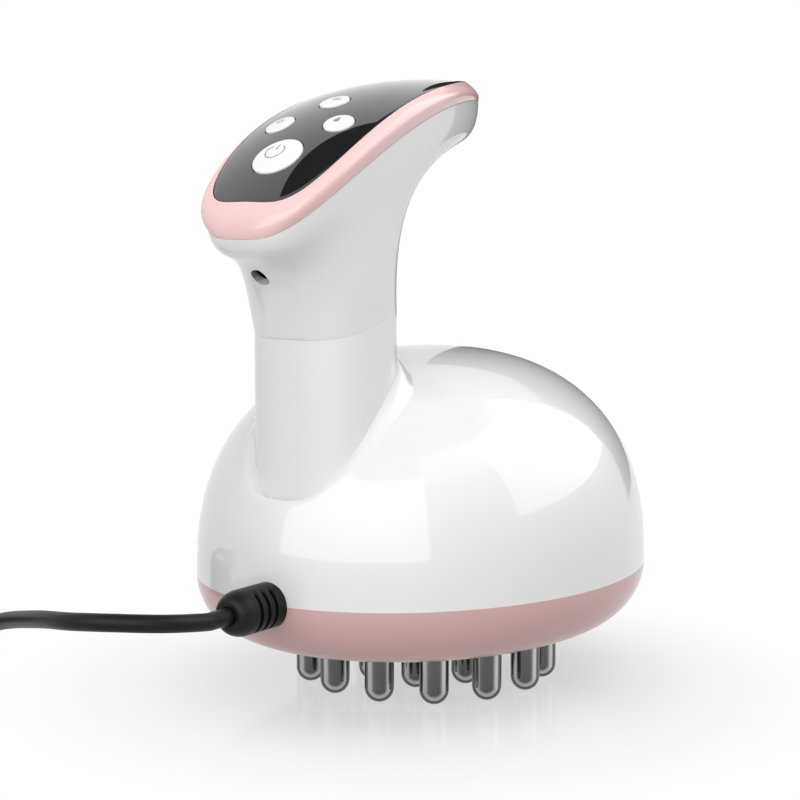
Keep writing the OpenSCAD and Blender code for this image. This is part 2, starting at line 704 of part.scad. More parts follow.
module motor_strap() color("silver") in_body() {
    outer = motor_r + strap_t;
    difference() {
        union() {
            along_x(strap_x - strap_w / 2, motor_z) cylinder(r = outer, h = strap_w, $fn = 96);
            translate([strap_x - strap_w / 2, -outer, cradle_top])
                cube([strap_w, 2 * outer, motor_z - cradle_top]);
            translate([strap_x - strap_w / 2, -cradle_w / 2, cradle_top]) cube([strap_w, cradle_w, strap_t]);
        }
        along_x(strap_x - strap_w, motor_z) cylinder(r = motor_r, h = 2 * strap_w, $fn = 96);
        translate([strap_x - strap_w, -motor_r, cradle_top - 1])
            cube([2 * strap_w, 2 * motor_r, motor_z - cradle_top + 1]);
        strap_screw_places() translate([0, 0, cradle_top - 1])
            cylinder(r = stand_screw_r, h = strap_t + 2, $fn = 24);
    }
}

module strap_screws() color("dimgray") in_body() {
    strap_screw_places() translate([0, 0, cradle_top + strap_t])
        screw(stand_screw_r, strap_screw_len, 2 * stand_screw_r, stand_screw_head);
}

weight_x = motor_x + motor_len + 3;
module motor_shaft() color("silver") in_body() {
    along_x(motor_x - 2, motor_z) cylinder(r = shaft_d / 2, h = motor_len + 5 + weight_w + 0.5, $fn = 48);
}

hub_r = 3.5;
module eccentric_weight() color("dimgray") in_body() {
    difference() {
        union() {
            intersection() {
                along_x(weight_x, motor_z) cylinder(r = weight_r, h = weight_w, $fn = 96);
                translate([weight_x, -weight_r, motor_z - weight_r]) cube([weight_w, 2 * weight_r, weight_r]);
            }
            along_x(weight_x, motor_z) cylinder(r = hub_r, h = weight_w, $fn = 48);
        }
        along_x(weight_x - 1, motor_z) cylinder(r = shaft_d / 2, h = weight_w + 2, $fn = 48);
    }
}

module main_board() color("seagreen") in_body() {
    difference() {
        translate([main_board_at[0] - main_board_size[0] / 2, -main_board_size[1] / 2, main_board_z])
            cube([main_board_size[0], main_board_size[1], board_t]);
        board_stands(main_board_z - 1, main_board_top + 1, stand_screw_r);
    }
}

module main_board_screws() color("silver") in_body() {
    for (x = [-1, 1]) for (y = [-1, 1])
        translate([main_board_at[0] + x * main_board_post[0], y * main_board_post[1], main_board_top])
            screw(stand_screw_r, board_t + board_lift - 1, 2 * stand_screw_r, stand_screw_head);
}

// A block on the main board whose face nearest the mains lead is at x.
module block(x, size) {
    translate([x, -size[1] / 2, main_board_top]) cube(size);
}

power_x = board_edge + 18;
power_size = [17, 20, 16];
module power_module() color([0.15, 0.15, 0.16]) in_body() block(power_x, power_size);

capacitor_r = 4;
capacitor_h = 12;
capacitor_at = [board_edge + 12, 11.4];
module capacitors() color("navy") in_body() {
    for (y = [-1, 1]) translate([capacitor_at[0], y * capacitor_at[1], main_board_top])
        cylinder(r = capacitor_r, h = capacitor_h, $fn = 48);
}

terminal_size = [8, 12, 9];
terminal_x = board_edge + 4;
terminal_z = main_board_top + 5;
module terminal_block() color("forestgreen") in_body() block(terminal_x, terminal_size);

// Mains lead. The strain relief passes through the wall of the body at the seam, and the two
// cores inside run from it to the terminal block.
relief_run = 8.5;    // from the body's outline to the inner end of the strain relief
relief_inner = relief_run - body_a;
flange_in = 4.8;     // from the body's outline to the flange that holds the relief in
flange_len = 2;
relief_flange_r = relief_d / 2 + 1.1;
relief_tail_r = 4;   // inside the body, behind the flange
core_r = 0.95;
core_y = 1.6;
core_route = [[relief_inner, relief_z], [relief_inner + 1.5, relief_z], [relief_inner + 3, relief_z],
    [board_edge - 6, 32], [board_edge - 3.6, 35.2], [board_edge - 1.6, 39.2], [board_edge, 42],
    [terminal_x - 2.4, terminal_z], [terminal_x - 1.2, terminal_z], [terminal_x, terminal_z]];
module inner_lead() color("saddlebrown") in_body() {
    for (y = [-core_y, core_y]) tube(smooth([for (p = core_route) [p[0], y, p[1]]], 2), core_r, 8, [0, 1, 0]);
}

groove_depth = 1;
groove_edge = 0.15;  // run of a groove's slanted side
groove_w = 1.1;
groove_pitch = 2.7;
groove_count = 3;
groove_start = 2.6;
nose_r = 3;
nose_len = 4.5;
NOSE_STEPS = 8;
module strain_relief() color([0.04, 0.04, 0.04]) in_body() {
    r = relief_d / 2;
    // The profile holds the radius against the distance from the inner end.
    rim = body_a + relief_inner;
    end = rim + relief_out;
    flange = rim - flange_in;
    grooves = [for (i = [0:groove_count - 1]) let (s = rim + groove_start + i * groove_pitch)
        each [[r, s], [r - groove_depth, s + groove_edge], [r - groove_depth, s + groove_w - groove_edge],
            [r, s + groove_w]]];
    nose = [for (k = [0:NOSE_STEPS]) let (a = 90 * k / NOSE_STEPS)
        [nose_r + (r - nose_r) * cos(a), end - nose_len * (1 - sin(a))]];
    along_x(relief_inner, relief_z) rotate([0, 180, 0]) rotate_extrude($fn = 72)
        polygon(concat([[0, 0], [relief_tail_r, 0], [relief_tail_r, flange - flange_len],
            [relief_flange_r, flange - flange_len], [relief_flange_r, flange], [r, flange]],
            grooves, nose, [[0, end]]));
}

// Outside the body the mains lead is set out in the part's own frame. It runs straight out of
// the strain relief, sinks to the floor in a wide curve, goes once into a coil, and from there
// back over the coil to its plug, which lies on the turns.
cord_r = cord_d / 2;
lead_start = body_x - relief_reach;
lead_route = [[lead_start, 0, relief_z], [-78, 0, 30.5], [-82, 0, 30.8], [-92, 3, 32], [-99.5, 11, 32.6],
    [-101.5, 22, 31.8], [-98.5, 33, 30.2], [-93.5, 44, 27.8], [-88.5, 55, 25.2], [-83.5, 66, 22],
    [-78.5, 77, 17.3], [-73.5, 88, 11.8], [-68.5, 99, 6.9], [-59.5, 108, 3.9], [-50.5, 116.5, 2.8],
    [-43.5, 124.5, 2.7], [-39.6, 130, 2.7], [-38.3, 134, 2.7], [-38.3, 137, 2.7], [-38.3, 140, 2.7]];
tail_route = [[-38.3, 148, 16.8], [-38.3, 150.5, 16.8], [-38.3, 153, 16.8], [-40.6, 161.7, 17.4],
    [-47, 168.1, 19.6], [-55.7, 170.4, 22.8], [-63.1, 168.8, 25.3], [-68, 165.3, 26.7],
    [-70.5, 162.8, 27.1], [-73, 160.3, 27.1], [-75.5, 157.8, 27.1]];

// The coil winds in and out in layers. It climbs from one layer to the next during the half
// turn in which the winding turns back, and it enters and leaves straight.
coil_outer = 29.7;
coil_pitch = 4.7;
coil_z = 2.7;
LAYER_TURNS = 2;
LAYERS = 4;
LOOP_RINGS = 24;
coil_straight = 4;
coil_at = lead_route[len(lead_route) - 1] + [-coil_outer, coil_straight, 0];
function coil_in(t) =
    let (m = t - 2 * LAYER_TURNS * floor(t / (2 * LAYER_TURNS))) m <= LAYER_TURNS ? m : 2 * LAYER_TURNS - m;
function ease(u) = let (v = min(1, max(0, u))) v * v * (3 - 2 * v);
function climb(t, j) = j == LAYERS ? 0 : ease(2 * (t - j * LAYER_TURNS) + 0.5) + climb(t, j + 1);
function coil_point(t) =
    let (r = coil_outer - coil_pitch * coil_in(t))
    [coil_at[0] + r * cos(360 * t), coil_at[1] + r * sin(360 * t), coil_z + coil_pitch * climb(t, 1)];
coil_turns = LAYERS * LAYER_TURNS;
coil_line = [for (k = [0:coil_turns * LOOP_RINGS]) coil_point(k / LOOP_RINGS)];
coil_path = concat([coil_line[0] - [0, coil_straight, 0]], coil_line,
    [coil_line[len(coil_line) - 1] + [0, coil_straight, 0]]);
coil_gap = min([for (i = [0:len(coil_line) - 1]) for (j = [i + LOOP_RINGS / 2:1:len(coil_line) - 1])
    norm(coil_line[i] - coil_line[j])]) - cord_d;
function route_length(path) =
    len(path) < 2 ? 0 : [for (i = 1, s = norm(path[1] - path[0]); i < len(path);
        i = i + 1, s = s + (i < len(path) ? norm(path[i] - path[i - 1]) : 0)) s][len(path) - 2];
echo(coil_gap = coil_gap);
echo(cord_length = [for (path = [smooth(lead_route, 2), coil_path, smooth(tail_route, 2)]) route_length(path)]);

module power_cord() color([0.04, 0.04, 0.04]) tube(smooth(lead_route, 2), cord_r, 10, [0, 0, 1]);
module cord_coil() color([0.04, 0.04, 0.04]) tube(coil_path, cord_r, 6, [0, 0, 1]);
module cord_tail() color([0.04, 0.04, 0.04]) tube(smooth(tail_route, 2), cord_r, 10, [0, 0, 1]);

tie_w = 8;
tie_t = 0.6;
tie_gap = 0.25;
module cord_tie() color("black") {
    // The turns lie in two columns where the tie goes round them, half a turn from the start.
    inner = sqrt(pow(coil_outer - coil_pitch * (LAYER_TURNS - 0.5), 2) - pow(tie_w / 2, 2)) - cord_r - tie_gap;
    outer = coil_outer - coil_pitch / 2 + cord_r + tie_gap;
    top = coil_z + (LAYERS - 1) * coil_pitch + cord_r + tie_gap;
    translate([coil_at[0], coil_at[1] + tie_w / 2, 0]) rotate([90, 0, 0]) linear_extrude(tie_w) difference() {
        translate([-outer - tie_t, 0]) square([outer - inner + 2 * tie_t, top + tie_t]);
        translate([-outer, tie_t]) square([outer - inner, top - tie_t]);
    }
}

plug_at = tail_route[len(tail_route) - 1];
plug_turn = 45;      // the way the plug points, turned from -X towards -Y
plug_h = 14;
plug_neck = 8;
plug_neck_r = 3.5;
plug_neck_w = 14;    // width of the grip where the neck meets it
plug_len = 36;
plug_w = 35;
plug_corner = 3;
module at_plug() {
    translate(plug_at) rotate([0, 0, plug_turn]) children();
}
module plug_body() color([0.04, 0.04, 0.04]) at_plug() {
    translate([-plug_neck - 1, 0, 0]) rotate([0, 90, 0]) cylinder(r = plug_neck_r, h = plug_neck + 1, $fn = 48);
    translate([0, 0, -plug_h / 2]) linear_extrude(plug_h) hull() for (y = [-1, 1]) {
        translate([-plug_neck - plug_corner, y * (plug_neck_w / 2 - plug_corner)])
            circle(r = plug_corner, $fn = 32);
        translate([-plug_len + plug_corner, y * (plug_w / 2 - plug_corner)]) circle(r = plug_corner, $fn = 32);
    }
}
module plug_pins() color("silver") at_plug() {
    for (y = [-plug_pitch / 2, plug_pitch / 2]) translate([-plug_len, y, 0]) rotate([0, -90, 0]) {
        cylinder(r = plug_pin_d / 2, h = plug_pin_len - plug_pin_d / 2, $fn = 48);
        translate([0, 0, plug_pin_len - plug_pin_d / 2]) sphere(r = plug_pin_d / 2, $fn = 48);
    }
}

// What the record states: the place and direction of each joint, in the part's own frame.
for (b = [POWER:MODE]) echo(button = b, at = panel_point(button_at[b]) + [body_x, 0, 0],
    inward = -panel_normal(button_at[b]));
echo(motor_axis = [body_x + motor_x + motor_len / 2, 0, motor_z]);

base_cover();
body_shell();
neck_shell();
neck_sleeve();
head_band();
control_panel();
power_button();
heat_button();
strength_button();
mode_button();
button_board();
tact_switches();
button_board_screws();
wire_harness();
outer_pins();
inner_pins();
pin_nuts();
heat_plate();
heater_ring();
thermostat();
chassis_plate();
case_screws();
motor_can();
motor_cradle();
motor_strap();
strap_screws();
motor_shaft();
eccentric_weight();
main_board();
main_board_screws();
power_module();
capacitors();
terminal_block();
inner_lead();
strain_relief();
power_cord();
cord_coil();
cord_tail();
cord_tie();
plug_body();
plug_pins();
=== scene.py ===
# Electric massage brush on a pale floor: smooth shells, panel, buttons, pins, strain relief and
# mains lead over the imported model. Lengths are millimetres in the part's own frame until a mesh
# is made, and the body's own lengths are measured from the centre of its massage pins.
import json
import math

import bmesh
import bpy
from mathutils import Matrix, Vector


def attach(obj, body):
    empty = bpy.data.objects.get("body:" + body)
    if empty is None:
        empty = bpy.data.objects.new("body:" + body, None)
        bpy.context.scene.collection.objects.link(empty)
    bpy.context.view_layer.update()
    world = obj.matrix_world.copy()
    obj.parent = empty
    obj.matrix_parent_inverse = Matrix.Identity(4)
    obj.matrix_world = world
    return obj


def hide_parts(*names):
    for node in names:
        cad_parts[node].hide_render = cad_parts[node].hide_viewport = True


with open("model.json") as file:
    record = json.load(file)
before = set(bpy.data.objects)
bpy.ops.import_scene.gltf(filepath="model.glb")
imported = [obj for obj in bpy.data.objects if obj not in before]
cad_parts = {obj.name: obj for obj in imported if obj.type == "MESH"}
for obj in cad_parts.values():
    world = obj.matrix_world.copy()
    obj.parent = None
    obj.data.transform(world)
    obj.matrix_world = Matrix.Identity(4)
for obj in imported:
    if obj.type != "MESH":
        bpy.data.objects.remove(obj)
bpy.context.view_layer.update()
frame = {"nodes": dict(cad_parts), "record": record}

NODES = frame["nodes"]
MM = 0.001

# Camera
CAMERA_AT = (-384.4, -266.2, 126.3)
CAMERA_LOOK = (0.8141, 0.5700, -0.1113)
CAMERA_LENS = 81.25
CAMERA_SENSOR = 36.0

# Body
BODY_X = 7.3
BODY_A = 66.0
BODY_B = 55.6
SEAM_Z = 30.5
DOME_H = 57.0
DOME_P = 2.3
DOME_Q = 0.411
BASE_Z = 15.0
BASE_FLAT = 0.73
BASE_CORNER = 2.0
WALL = 2.4

# Stem and neck
STEM_BACK = 43.0
STEM_A = 15.4
STEM_B = 16.4
STEM_N = 2.6
COLLAR_W = 4.4
COLLAR_H = 3.8
COLLAR_TURN = 34.0
COLLAR_SWELL = 0.5
PARTING_Z = 96.2
PARTING_SLOPE = 0.22
PARTING_SOFT = 0.1
RISE_BACK = 25.0
RISE_FRONT = 56.5
ROUND_BACK = 9.0
ROUND_FRONT = 24.5
ROUND_IN = 2.4
NECK_LEAN = 0.17
NECK_SPREAD = 0.06
RECESS_AT = (-60.0, 5.2, 111.0)
RECESS_WAY = (0.74, 0.42, 0.5)
RECESS_R = 2.4
RECESS_REACH = 7.0

# Head
HEAD_BACK = 75.7
HEAD_FRONT = 21.6
HEAD_W = 19.1
HEAD_EGG = (0.3, 0.6)
SEAM_TOP = 151.8
SEAM_FALL = 35.0
SEAM_CURVE = 2.3
PANEL_BACK = 72.7
PANEL_FRONT = 10.8
PANEL_W = 18.2
PANEL_EGG = (0.25, 0.44)
PANEL_TOP = 156.8
PANEL_FALL = 31.4
PANEL_CURVE = 2.75
PANEL_CROWN = 0.0076
PANEL_T = 2.2
PANEL_GAP = 0.15
PANEL_SOFT = 0.25
PANEL_SOFT_SHARE = 0.3
LEDGE_W = 2.0
BAND_LOW_OUT = 0.5
BAND_LOW_RISE = 0.7
BAND_HIGH_OUT = 4.6
BAND_HIGH_SHARE = 0.42
BAND_HIGH_DROP = 0.5
JOINT = 0.1

# Buttons
POWER_D = 12.8
SMALL_D = 7.6
POWER_AT = (-61.2, 0.0)
HEAT_AT = (-49.1, 8.8)
STRENGTH_AT = (-49.1, -8.8)
MODE_AT = (-39.0, 0.0)
BUTTON_GAP = 0.25
BUTTON_PROUD = 0.5
BUTTON_TRAVEL = 0.6
FLANGE_DEPTH = PANEL_T + 0.9
FLANGE_T = 1.0
FLANGE_W = 0.9
PLUNGER_R = 1.6
PRESS_GAP = 0.6
SWITCH_H = 5.0
BOARD_DROP = 11.5
BOARD_POST_R = 1.7
BOARD_POST_WALL = 0.7
BOARD_POSTS = [(-7.5, 10.5), (-7.5, -10.5), (21.0, 0.0)]
BUTTON_EDGE = 0.35
POWER_CROWN = 0.3
SMALL_CROWN = 0.16
MARK_LIFT = 0.03
MARK_LINE = 0.34
DROP_TIP = 0.02
DROP_TAPER = 0.6

# Massage pins, and the posts and screws that hold the base
PIN_R = 3.75
PIN_EDGE = 0.3
PIN_TOP = BASE_Z + WALL
SHANK_R = 2.0
SHANK_TOP = PIN_TOP + 7.2
OUTER_COUNT = 14
OUTER_R = 31.35
INNER_COUNT = 7
INNER_R = 15.7
PIN_GAP = 0.2
HOLE_CHAMFER = 0.35
POST_AT = (36.0, 22.5)
POSTS = [(x, y) for x in (-POST_AT[0], POST_AT[0]) for y in (-POST_AT[1], POST_AT[1])]
POST_R = 4.0
POST_EDGE = POST_R * math.sqrt(0.5)
POST_SINK = 1.0
SCREW_BORE = 1.6
CHASSIS_Z = 28.0
SCREW_R = 3.2
SCREW_HOLE_DEPTH = 2.2

# Strain relief and lead
CORD_R = 2.1
RELIEF_R = 5.5
RELIEF_REACH = 80.6
RELIEF_INNER = 57.5
FLANGE_R = 6.6
FLANGE_NEAR = 59.2
FLANGE_FAR = 61.2
RELIEF_TAIL_R = 4.0
GROOVE_WEB = 0.9
GROOVE_RUN = 0.14
GROOVE_START = 2.6
GROOVE_PITCH = 2.7
GROOVE_W = 1.1
GROOVE_DEPTH = 1.0
GROOVE_LEAD = 0.15
GROOVE_LIP = 0.12
GROOVE_FLANK = 0.1
GROOVE_COUNT = 3
NOSE_R = 3.0
NOSE_LEN = 4.5
MOUTH_GAP = 0.25
MOUTH_DEPTH = 0.4

# The lead's way from the strain relief to the coil, and from the coil to the plug
LEAD_START = BODY_X - RELIEF_REACH
LEAD_ROUTE = [
    (LEAD_START, 0, 30.5), (-78, 0, 30.5), (-82, 0, 30.8), (-92, 3, 32), (-99.5, 11, 32.6),
    (-101.5, 22, 31.8), (-98.5, 33, 30.2), (-93.5, 44, 27.8), (-88.5, 55, 25.2), (-83.5, 66, 22),
    (-78.5, 77, 17.3), (-73.5, 88, 11.8), (-68.5, 99, 6.9), (-59.5, 108, 3.9), (-50.5, 116.5, 2.8),
    (-43.5, 124.5, 2.7), (-39.6, 130, 2.7), (-38.3, 134, 2.7), (-38.3, 137, 2.7), (-38.3, 140, 2.7),
]
TAIL_ROUTE = [
    (-38.3, 148, 16.8), (-38.3, 150.5, 16.8), (-38.3, 153, 16.8), (-40.6, 161.7, 17.4),
    (-47, 168.1, 19.6), (-55.7, 170.4, 22.8), (-63.1, 168.8, 25.3), (-68, 165.3, 26.7),
    (-70.5, 162.8, 27.1), (-73, 160.3, 27.1), (-75.5, 157.8, 27.1),
]
ROUTE_STEPS = 4
COIL_OUTER = 29.7
COIL_PITCH = 4.7
COIL_Z = 2.7
COIL_STRAIGHT = 4.0
COIL_AT = (LEAD_ROUTE[-1][0] - COIL_OUTER, LEAD_ROUTE[-1][1] + COIL_STRAIGHT)
LAYER_TURNS = 2
LAYERS = 4
LOOP_POINTS = 36

# Plug and tie
PLUG_TURN = 45.0
PLUG_LEN = 36.0
PLUG_PITCH = 18.6
PLUG_PIN_R = 2.0
PLUG_PIN_LEN = 18.85
PLUG_PIN_ROUND = 1.6
TIE_W = 8.0
TIE_T = 0.6
TIE_GAP = 0.25
TIE_EDGE = 0.12
TIE_SQUARENESS = 9.0

# Materials. The middle of a noise's range is spread over a material's colours or roughness.
COLOUR_SPREAD = (0.35, 0.65)
ROUGH_SPREAD = (0.3, 0.7)
PLASTIC_CLOUDS = 25
PLASTIC_PATCHES = 60
METAL_CLOUDS = 80
METAL_VARY = 0.04
GRAIN_DETAIL = 2.0
COAT_ROUGH = 0.03
CHROME_GREY = 0.5
# Greys of the pins' painted reflection, by how far the surface turns from the camera: dark in the middle, a
# bright band part way out, dark at the edges
PAINTED_REFLECTION_STOPS = [(0.0, 0.08), (0.13, 0.13), (0.2, 0.42), (0.32, 0.56), (0.44, 0.1), (1.0, 0.05)]

# Stage, with its lengths in metres. The lights and dark cards are curved panels round the object,
# each given by its two azimuths and two elevations in degrees. A light has the strength with which
# it lights, and the strength with which it shows in glossy surfaces.
FLOOR_REACH = 3.0
# Near the object the floor glows only this share of white, which is painted shade round it on top of the
# real shadow. The glow rises to full white between the two radii.
PAINTED_SHADE_FADE_START = 0.03
PAINTED_SHADE_FADE_END = 0.115
FLOOR_GLOW_IN_PAINTED_SHADE = 0.58
FLOOR_WHITE = 0.52
FLOOR_VARY = 0.02
FLOOR_CLOUDS = 4
FLOOR_ROUGH = 0.12
AMBIENT = 0.14
CARD_GREYS = (0.02, 0.03)
CARD_CLOUDS = 10
PANEL_AWAY = 1.5
OBJECT_MIDDLE = Vector((0, 0, 0.05))
SOFTBOXES = [
    ("light_left", 150, 235, 2, 46, 2.3, 3.4),
    ("light_right", -80, -10, 14, 58, 1.5, 3.2),
    ("light_bridge", 235, 280, 40, 60, 2.7, 2.0),
    ("light_top", 130, 330, 62, 88, 3.2, 0.6),
]
FLAGS = [
    ("flag_right", -8, 32, -6, 36),
    ("flag_top", 5, 104, 60, 88),
]

# How finely shells, buttons, the plug, pins and small holes are divided all the way round
AROUND = 192
HEAD_AROUND = 224
FINE_AROUND = 96
PLUG_AROUND = 64
PIN_AROUND = 48
SMALL_AROUND = 32

# The least angle between two faces whose edge is drawn sharp
SHARP = math.radians(38)


# Camera and mains lead
def make_camera():
    data = bpy.data.cameras.new("camera")
    data.lens = CAMERA_LENS
    data.sensor_width = CAMERA_SENSOR
    camera = bpy.data.objects.new("camera", data)
    bpy.context.scene.collection.objects.link(camera)
    camera.location = Vector(CAMERA_AT) * MM
    camera.rotation_mode = "QUATERNION"
    camera.rotation_quaternion = Vector(CAMERA_LOOK).to_track_quat("-Z", "Y")
    bpy.context.scene.camera = camera


def bezier(a, b, c, d, u):
    v = 1 - u
    return a * v ** 3 + b * (3 * u * v * v) + c * (3 * u * u * v) + d * u ** 3


def smooth_route(points):
    """A smooth curve through all points, as the part's own lead follows them."""
    points = [Vector(p) for p in points]
    last = len(points) - 1

    def slope(i):
        span = 1 if i in (0, last) else 2
        return (points[min(i + 1, last)] - points[max(i - 1, 0)]) / span

    line = []
    for i in range(last):
        ends = (points[i], points[i] + slope(i) / 3, points[i + 1] - slope(i + 1) / 3, points[i + 1])
        line += [bezier(*ends, k / ROUTE_STEPS) for k in range(ROUTE_STEPS)]
    return line + [points[last]]


def ease(u):
    u = min(1.0, max(0.0, u))
    return u * u * (3 - 2 * u)


def coil_point(t):
    """The coil's centreline after t turns. It winds in and out and climbs where it turns back."""
    wave = t % (2 * LAYER_TURNS)
    inward = wave if wave <= LAYER_TURNS else 2 * LAYER_TURNS - wave
    r = COIL_OUTER - COIL_PITCH * inward
    climb = sum(ease(2 * (t - j * LAYER_TURNS) + 0.5) for j in range(1, LAYERS))
    a = 2 * math.pi * t
    return Vector((COIL_AT[0] + r * math.cos(a), COIL_AT[1] + r * math.sin(a), COIL_Z + COIL_PITCH * climb))


def cord_line():
    turns = LAYERS * LAYER_TURNS
    coil = [coil_point(k / LOOP_POINTS) for k in range(turns * LOOP_POINTS + 1)]
    return smooth_route(LEAD_ROUTE) + coil + smooth_route(TAIL_ROUTE)


def make_cord(material):
    line = cord_line()
    data = bpy.data.curves.new("mains_lead", "CURVE")
    data.dimensions = "3D"
    data.bevel_depth = CORD_R * MM
    data.bevel_resolution = 6
    data.use_fill_caps = True
    spline = data.splines.new("POLY")
    spline.points.add(len(line) - 1)
    for point, place in zip(spline.points, line):
        point.co = (*(place * MM), 1)
    spline.use_smooth = True
    cord = bpy.data.objects.new("mains_lead", data)
    bpy.context.scene.collection.objects.link(cord)
    data.materials.append(material)
    length = sum((b - a).length for a, b in zip(line, line[1:])) * MM
    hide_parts("power_cord", "cord_coil", "cord_tail")
    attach(cord, "case")
    return cord, length


# Materials
def new_material(name):
    material = bpy.data.materials.new(name)
    material.use_nodes = True
    return material, material.node_tree, material.node_tree.nodes["Principled BSDF"]


def add_noise(tree, scale, detail=3.0, stretch=(1, 1, 1)):
    coords = tree.nodes.new("ShaderNodeTexCoord")
    mapping = tree.nodes.new("ShaderNodeMapping")
    mapping.inputs["Scale"].default_value = stretch
    noise = tree.nodes.new("ShaderNodeTexNoise")
    noise.inputs["Scale"].default_value = scale
    noise.inputs["Detail"].default_value = detail
    tree.links.new(coords.outputs["Object"], mapping.inputs["Vector"])
    tree.links.new(mapping.outputs["Vector"], noise.inputs["Vector"])
    return noise


def colour_from(tree, shader, noise, low, high):
    ramp = tree.nodes.new("ShaderNodeValToRGB")
    for element, place, colour in zip(ramp.color_ramp.elements, COLOUR_SPREAD, (low, high)):
        element.position = place
        element.color = (*colour, 1)
    tree.links.new(noise.outputs["Fac"], ramp.inputs["Fac"])
    tree.links.new(ramp.outputs["Color"], shader.inputs["Base Color"])


def roughness_from(tree, shader, noise, low, high):
    spread = tree.nodes.new("ShaderNodeMapRange")
    for end, value in zip(("From Min", "From Max", "To Min", "To Max"), (*ROUGH_SPREAD, low, high)):
        spread.inputs[end].default_value = value
    tree.links.new(noise.outputs["Fac"], spread.inputs["Value"])
    tree.links.new(spread.outputs["Result"], shader.inputs["Roughness"])


def bump_from(tree, shader, noise, depth):
    bump = tree.nodes.new("ShaderNodeBump")
    bump.inputs["Distance"].default_value = depth * MM
    tree.links.new(noise.outputs["Fac"], bump.inputs["Height"])
    tree.links.new(bump.outputs["Normal"], shader.inputs["Normal"])


def shade(colour, factor):
    return tuple(min(1.0, c * factor) for c in colour)


def plastic(name, colour, rough, vary, grain=900.0, depth=0.001, coat=0.0, ior=1.5):
    """Moulded plastic: a faint cloudiness in its colour and a fine grain in its skin."""
    material, tree, shader = new_material(name)
    clouds = add_noise(tree, PLASTIC_CLOUDS)
    colour_from(tree, shader, clouds, shade(colour, 1 - vary), shade(colour, 1 + vary))
    roughness_from(tree, shader, add_noise(tree, PLASTIC_PATCHES), *rough)
    bump_from(tree, shader, add_noise(tree, grain, GRAIN_DETAIL), depth)
    shader.inputs["Coat Weight"].default_value = coat
    shader.inputs["Coat Roughness"].default_value = COAT_ROUGH
    shader.inputs["IOR"].default_value = ior
    return material


def metal(name, colour, rough, grain=300.0, depth=0.0005, stretch=(1, 1, 1)):
    """Polished or brushed metal, brushed where stretch draws its grain out along an axis."""
    material, tree, shader = new_material(name)
    clouds = add_noise(tree, METAL_CLOUDS)
    colour_from(tree, shader, clouds, shade(colour, 1 - METAL_VARY), shade(colour, 1 + METAL_VARY))
    brushed = add_noise(tree, grain, GRAIN_DETAIL, stretch)
    roughness_from(tree, shader, brushed, *rough)
    bump_from(tree, shader, brushed, depth)
    shader.inputs["Metallic"].default_value = 1.0
    return material


def chrome_with_painted_reflection(name, stops, rough):
    """Polished chromed metal whose colour goes through stops of (share of turning away, grey). This is a
    painted reflection: dark where it faces the camera, a bright band part way out, and dark at its edges.
    """
    material = metal(name, (CHROME_GREY,) * 3, rough)
    tree, shader = material.node_tree, material.node_tree.nodes["Principled BSDF"]
    clouds = shader.inputs["Base Color"].links[0].from_socket
    # The painted reflection: a ramp over how far the surface faces away, overlaid on the metal's cloudy
    # grey
    facing_for_painted_reflection = tree.nodes.new("ShaderNodeLayerWeight")
    ramp = tree.nodes.new("ShaderNodeValToRGB")
    for element, (place, grey) in zip(ramp.color_ramp.elements, (stops[0], stops[-1])):
        element.position = place
        element.color = (grey, grey, grey, 1)
    for place, grey in stops[1:-1]:
        ramp.color_ramp.elements.new(place).color = (grey, grey, grey, 1)
    mix = tree.nodes.new("ShaderNodeMix")
    mix.data_type = "RGBA"
    mix.blend_type = "OVERLAY"
    mix.inputs["Factor"].default_value = 1.0
    tree.links.new(facing_for_painted_reflection.outputs["Facing"], ramp.inputs["Fac"])
    tree.links.new(ramp.outputs["Color"], mix.inputs["A"])
    tree.links.new(clouds, mix.inputs["B"])
    tree.links.new(mix.outputs["Result"], shader.inputs["Base Color"])
    return material


PLASTICS = {
    "shell_white": dict(colour=(0.70, 0.70, 0.695), rough=(0.34, 0.4), vary=0.006, coat=0.8),
    "band_pink": dict(colour=(0.78, 0.52, 0.51), rough=(0.12, 0.18), vary=0.01),
    "base_pink": dict(colour=(0.56, 0.35, 0.34), rough=(0.16, 0.22), vary=0.015),
    "panel_black": dict(colour=(0.010, 0.010, 0.011), rough=(0.02, 0.04), vary=0.1, coat=0.6),
    "button_white": dict(colour=(0.78, 0.78, 0.77), rough=(0.08, 0.12), vary=0.005),
    "icon_grey": dict(colour=(0.22, 0.22, 0.22), rough=(0.2, 0.3), vary=0.05),
    "relief_rubber": dict(colour=(0.004, 0.0042, 0.0045), rough=(0.36, 0.46), vary=0.15,
                          grain=1400, depth=0.01, ior=1.28),
    "cord_black": dict(colour=(0.004, 0.004, 0.004), rough=(0.36, 0.46), vary=0.15,
                       grain=1100, depth=0.015, ior=1.28),
    "tie_black": dict(colour=(0.015, 0.015, 0.015), rough=(0.4, 0.5), vary=0.1, grain=700, depth=0.02),
    "plug_black": dict(colour=(0.014, 0.014, 0.014), rough=(0.3, 0.4), vary=0.12, grain=800, depth=0.02),
    "circuit_board": dict(colour=(0.02, 0.16, 0.07), rough=(0.3, 0.4), vary=0.1, grain=300, depth=0.02),
    "switch_black": dict(colour=(0.03, 0.03, 0.032), rough=(0.4, 0.5), vary=0.1, grain=600, depth=0.02),
    "heater_film": dict(colour=(0.35, 0.14, 0.03), rough=(0.2, 0.3), vary=0.1, grain=200, depth=0.02),
    "inner_plastic": dict(colour=(0.6, 0.6, 0.59), rough=(0.4, 0.5), vary=0.02, grain=500, depth=0.02),
    "wire_grey": dict(colour=(0.08, 0.08, 0.085), rough=(0.4, 0.5), vary=0.1, grain=500, depth=0.02),
    "capacitor_blue": dict(colour=(0.01, 0.02, 0.09), rough=(0.15, 0.2), vary=0.1),
    "terminal_green": dict(colour=(0.02, 0.2, 0.05), rough=(0.4, 0.5), vary=0.05, grain=400, depth=0.02),
    "core_brown": dict(colour=(0.12, 0.04, 0.015), rough=(0.4, 0.5), vary=0.1, grain=500, depth=0.02),
}
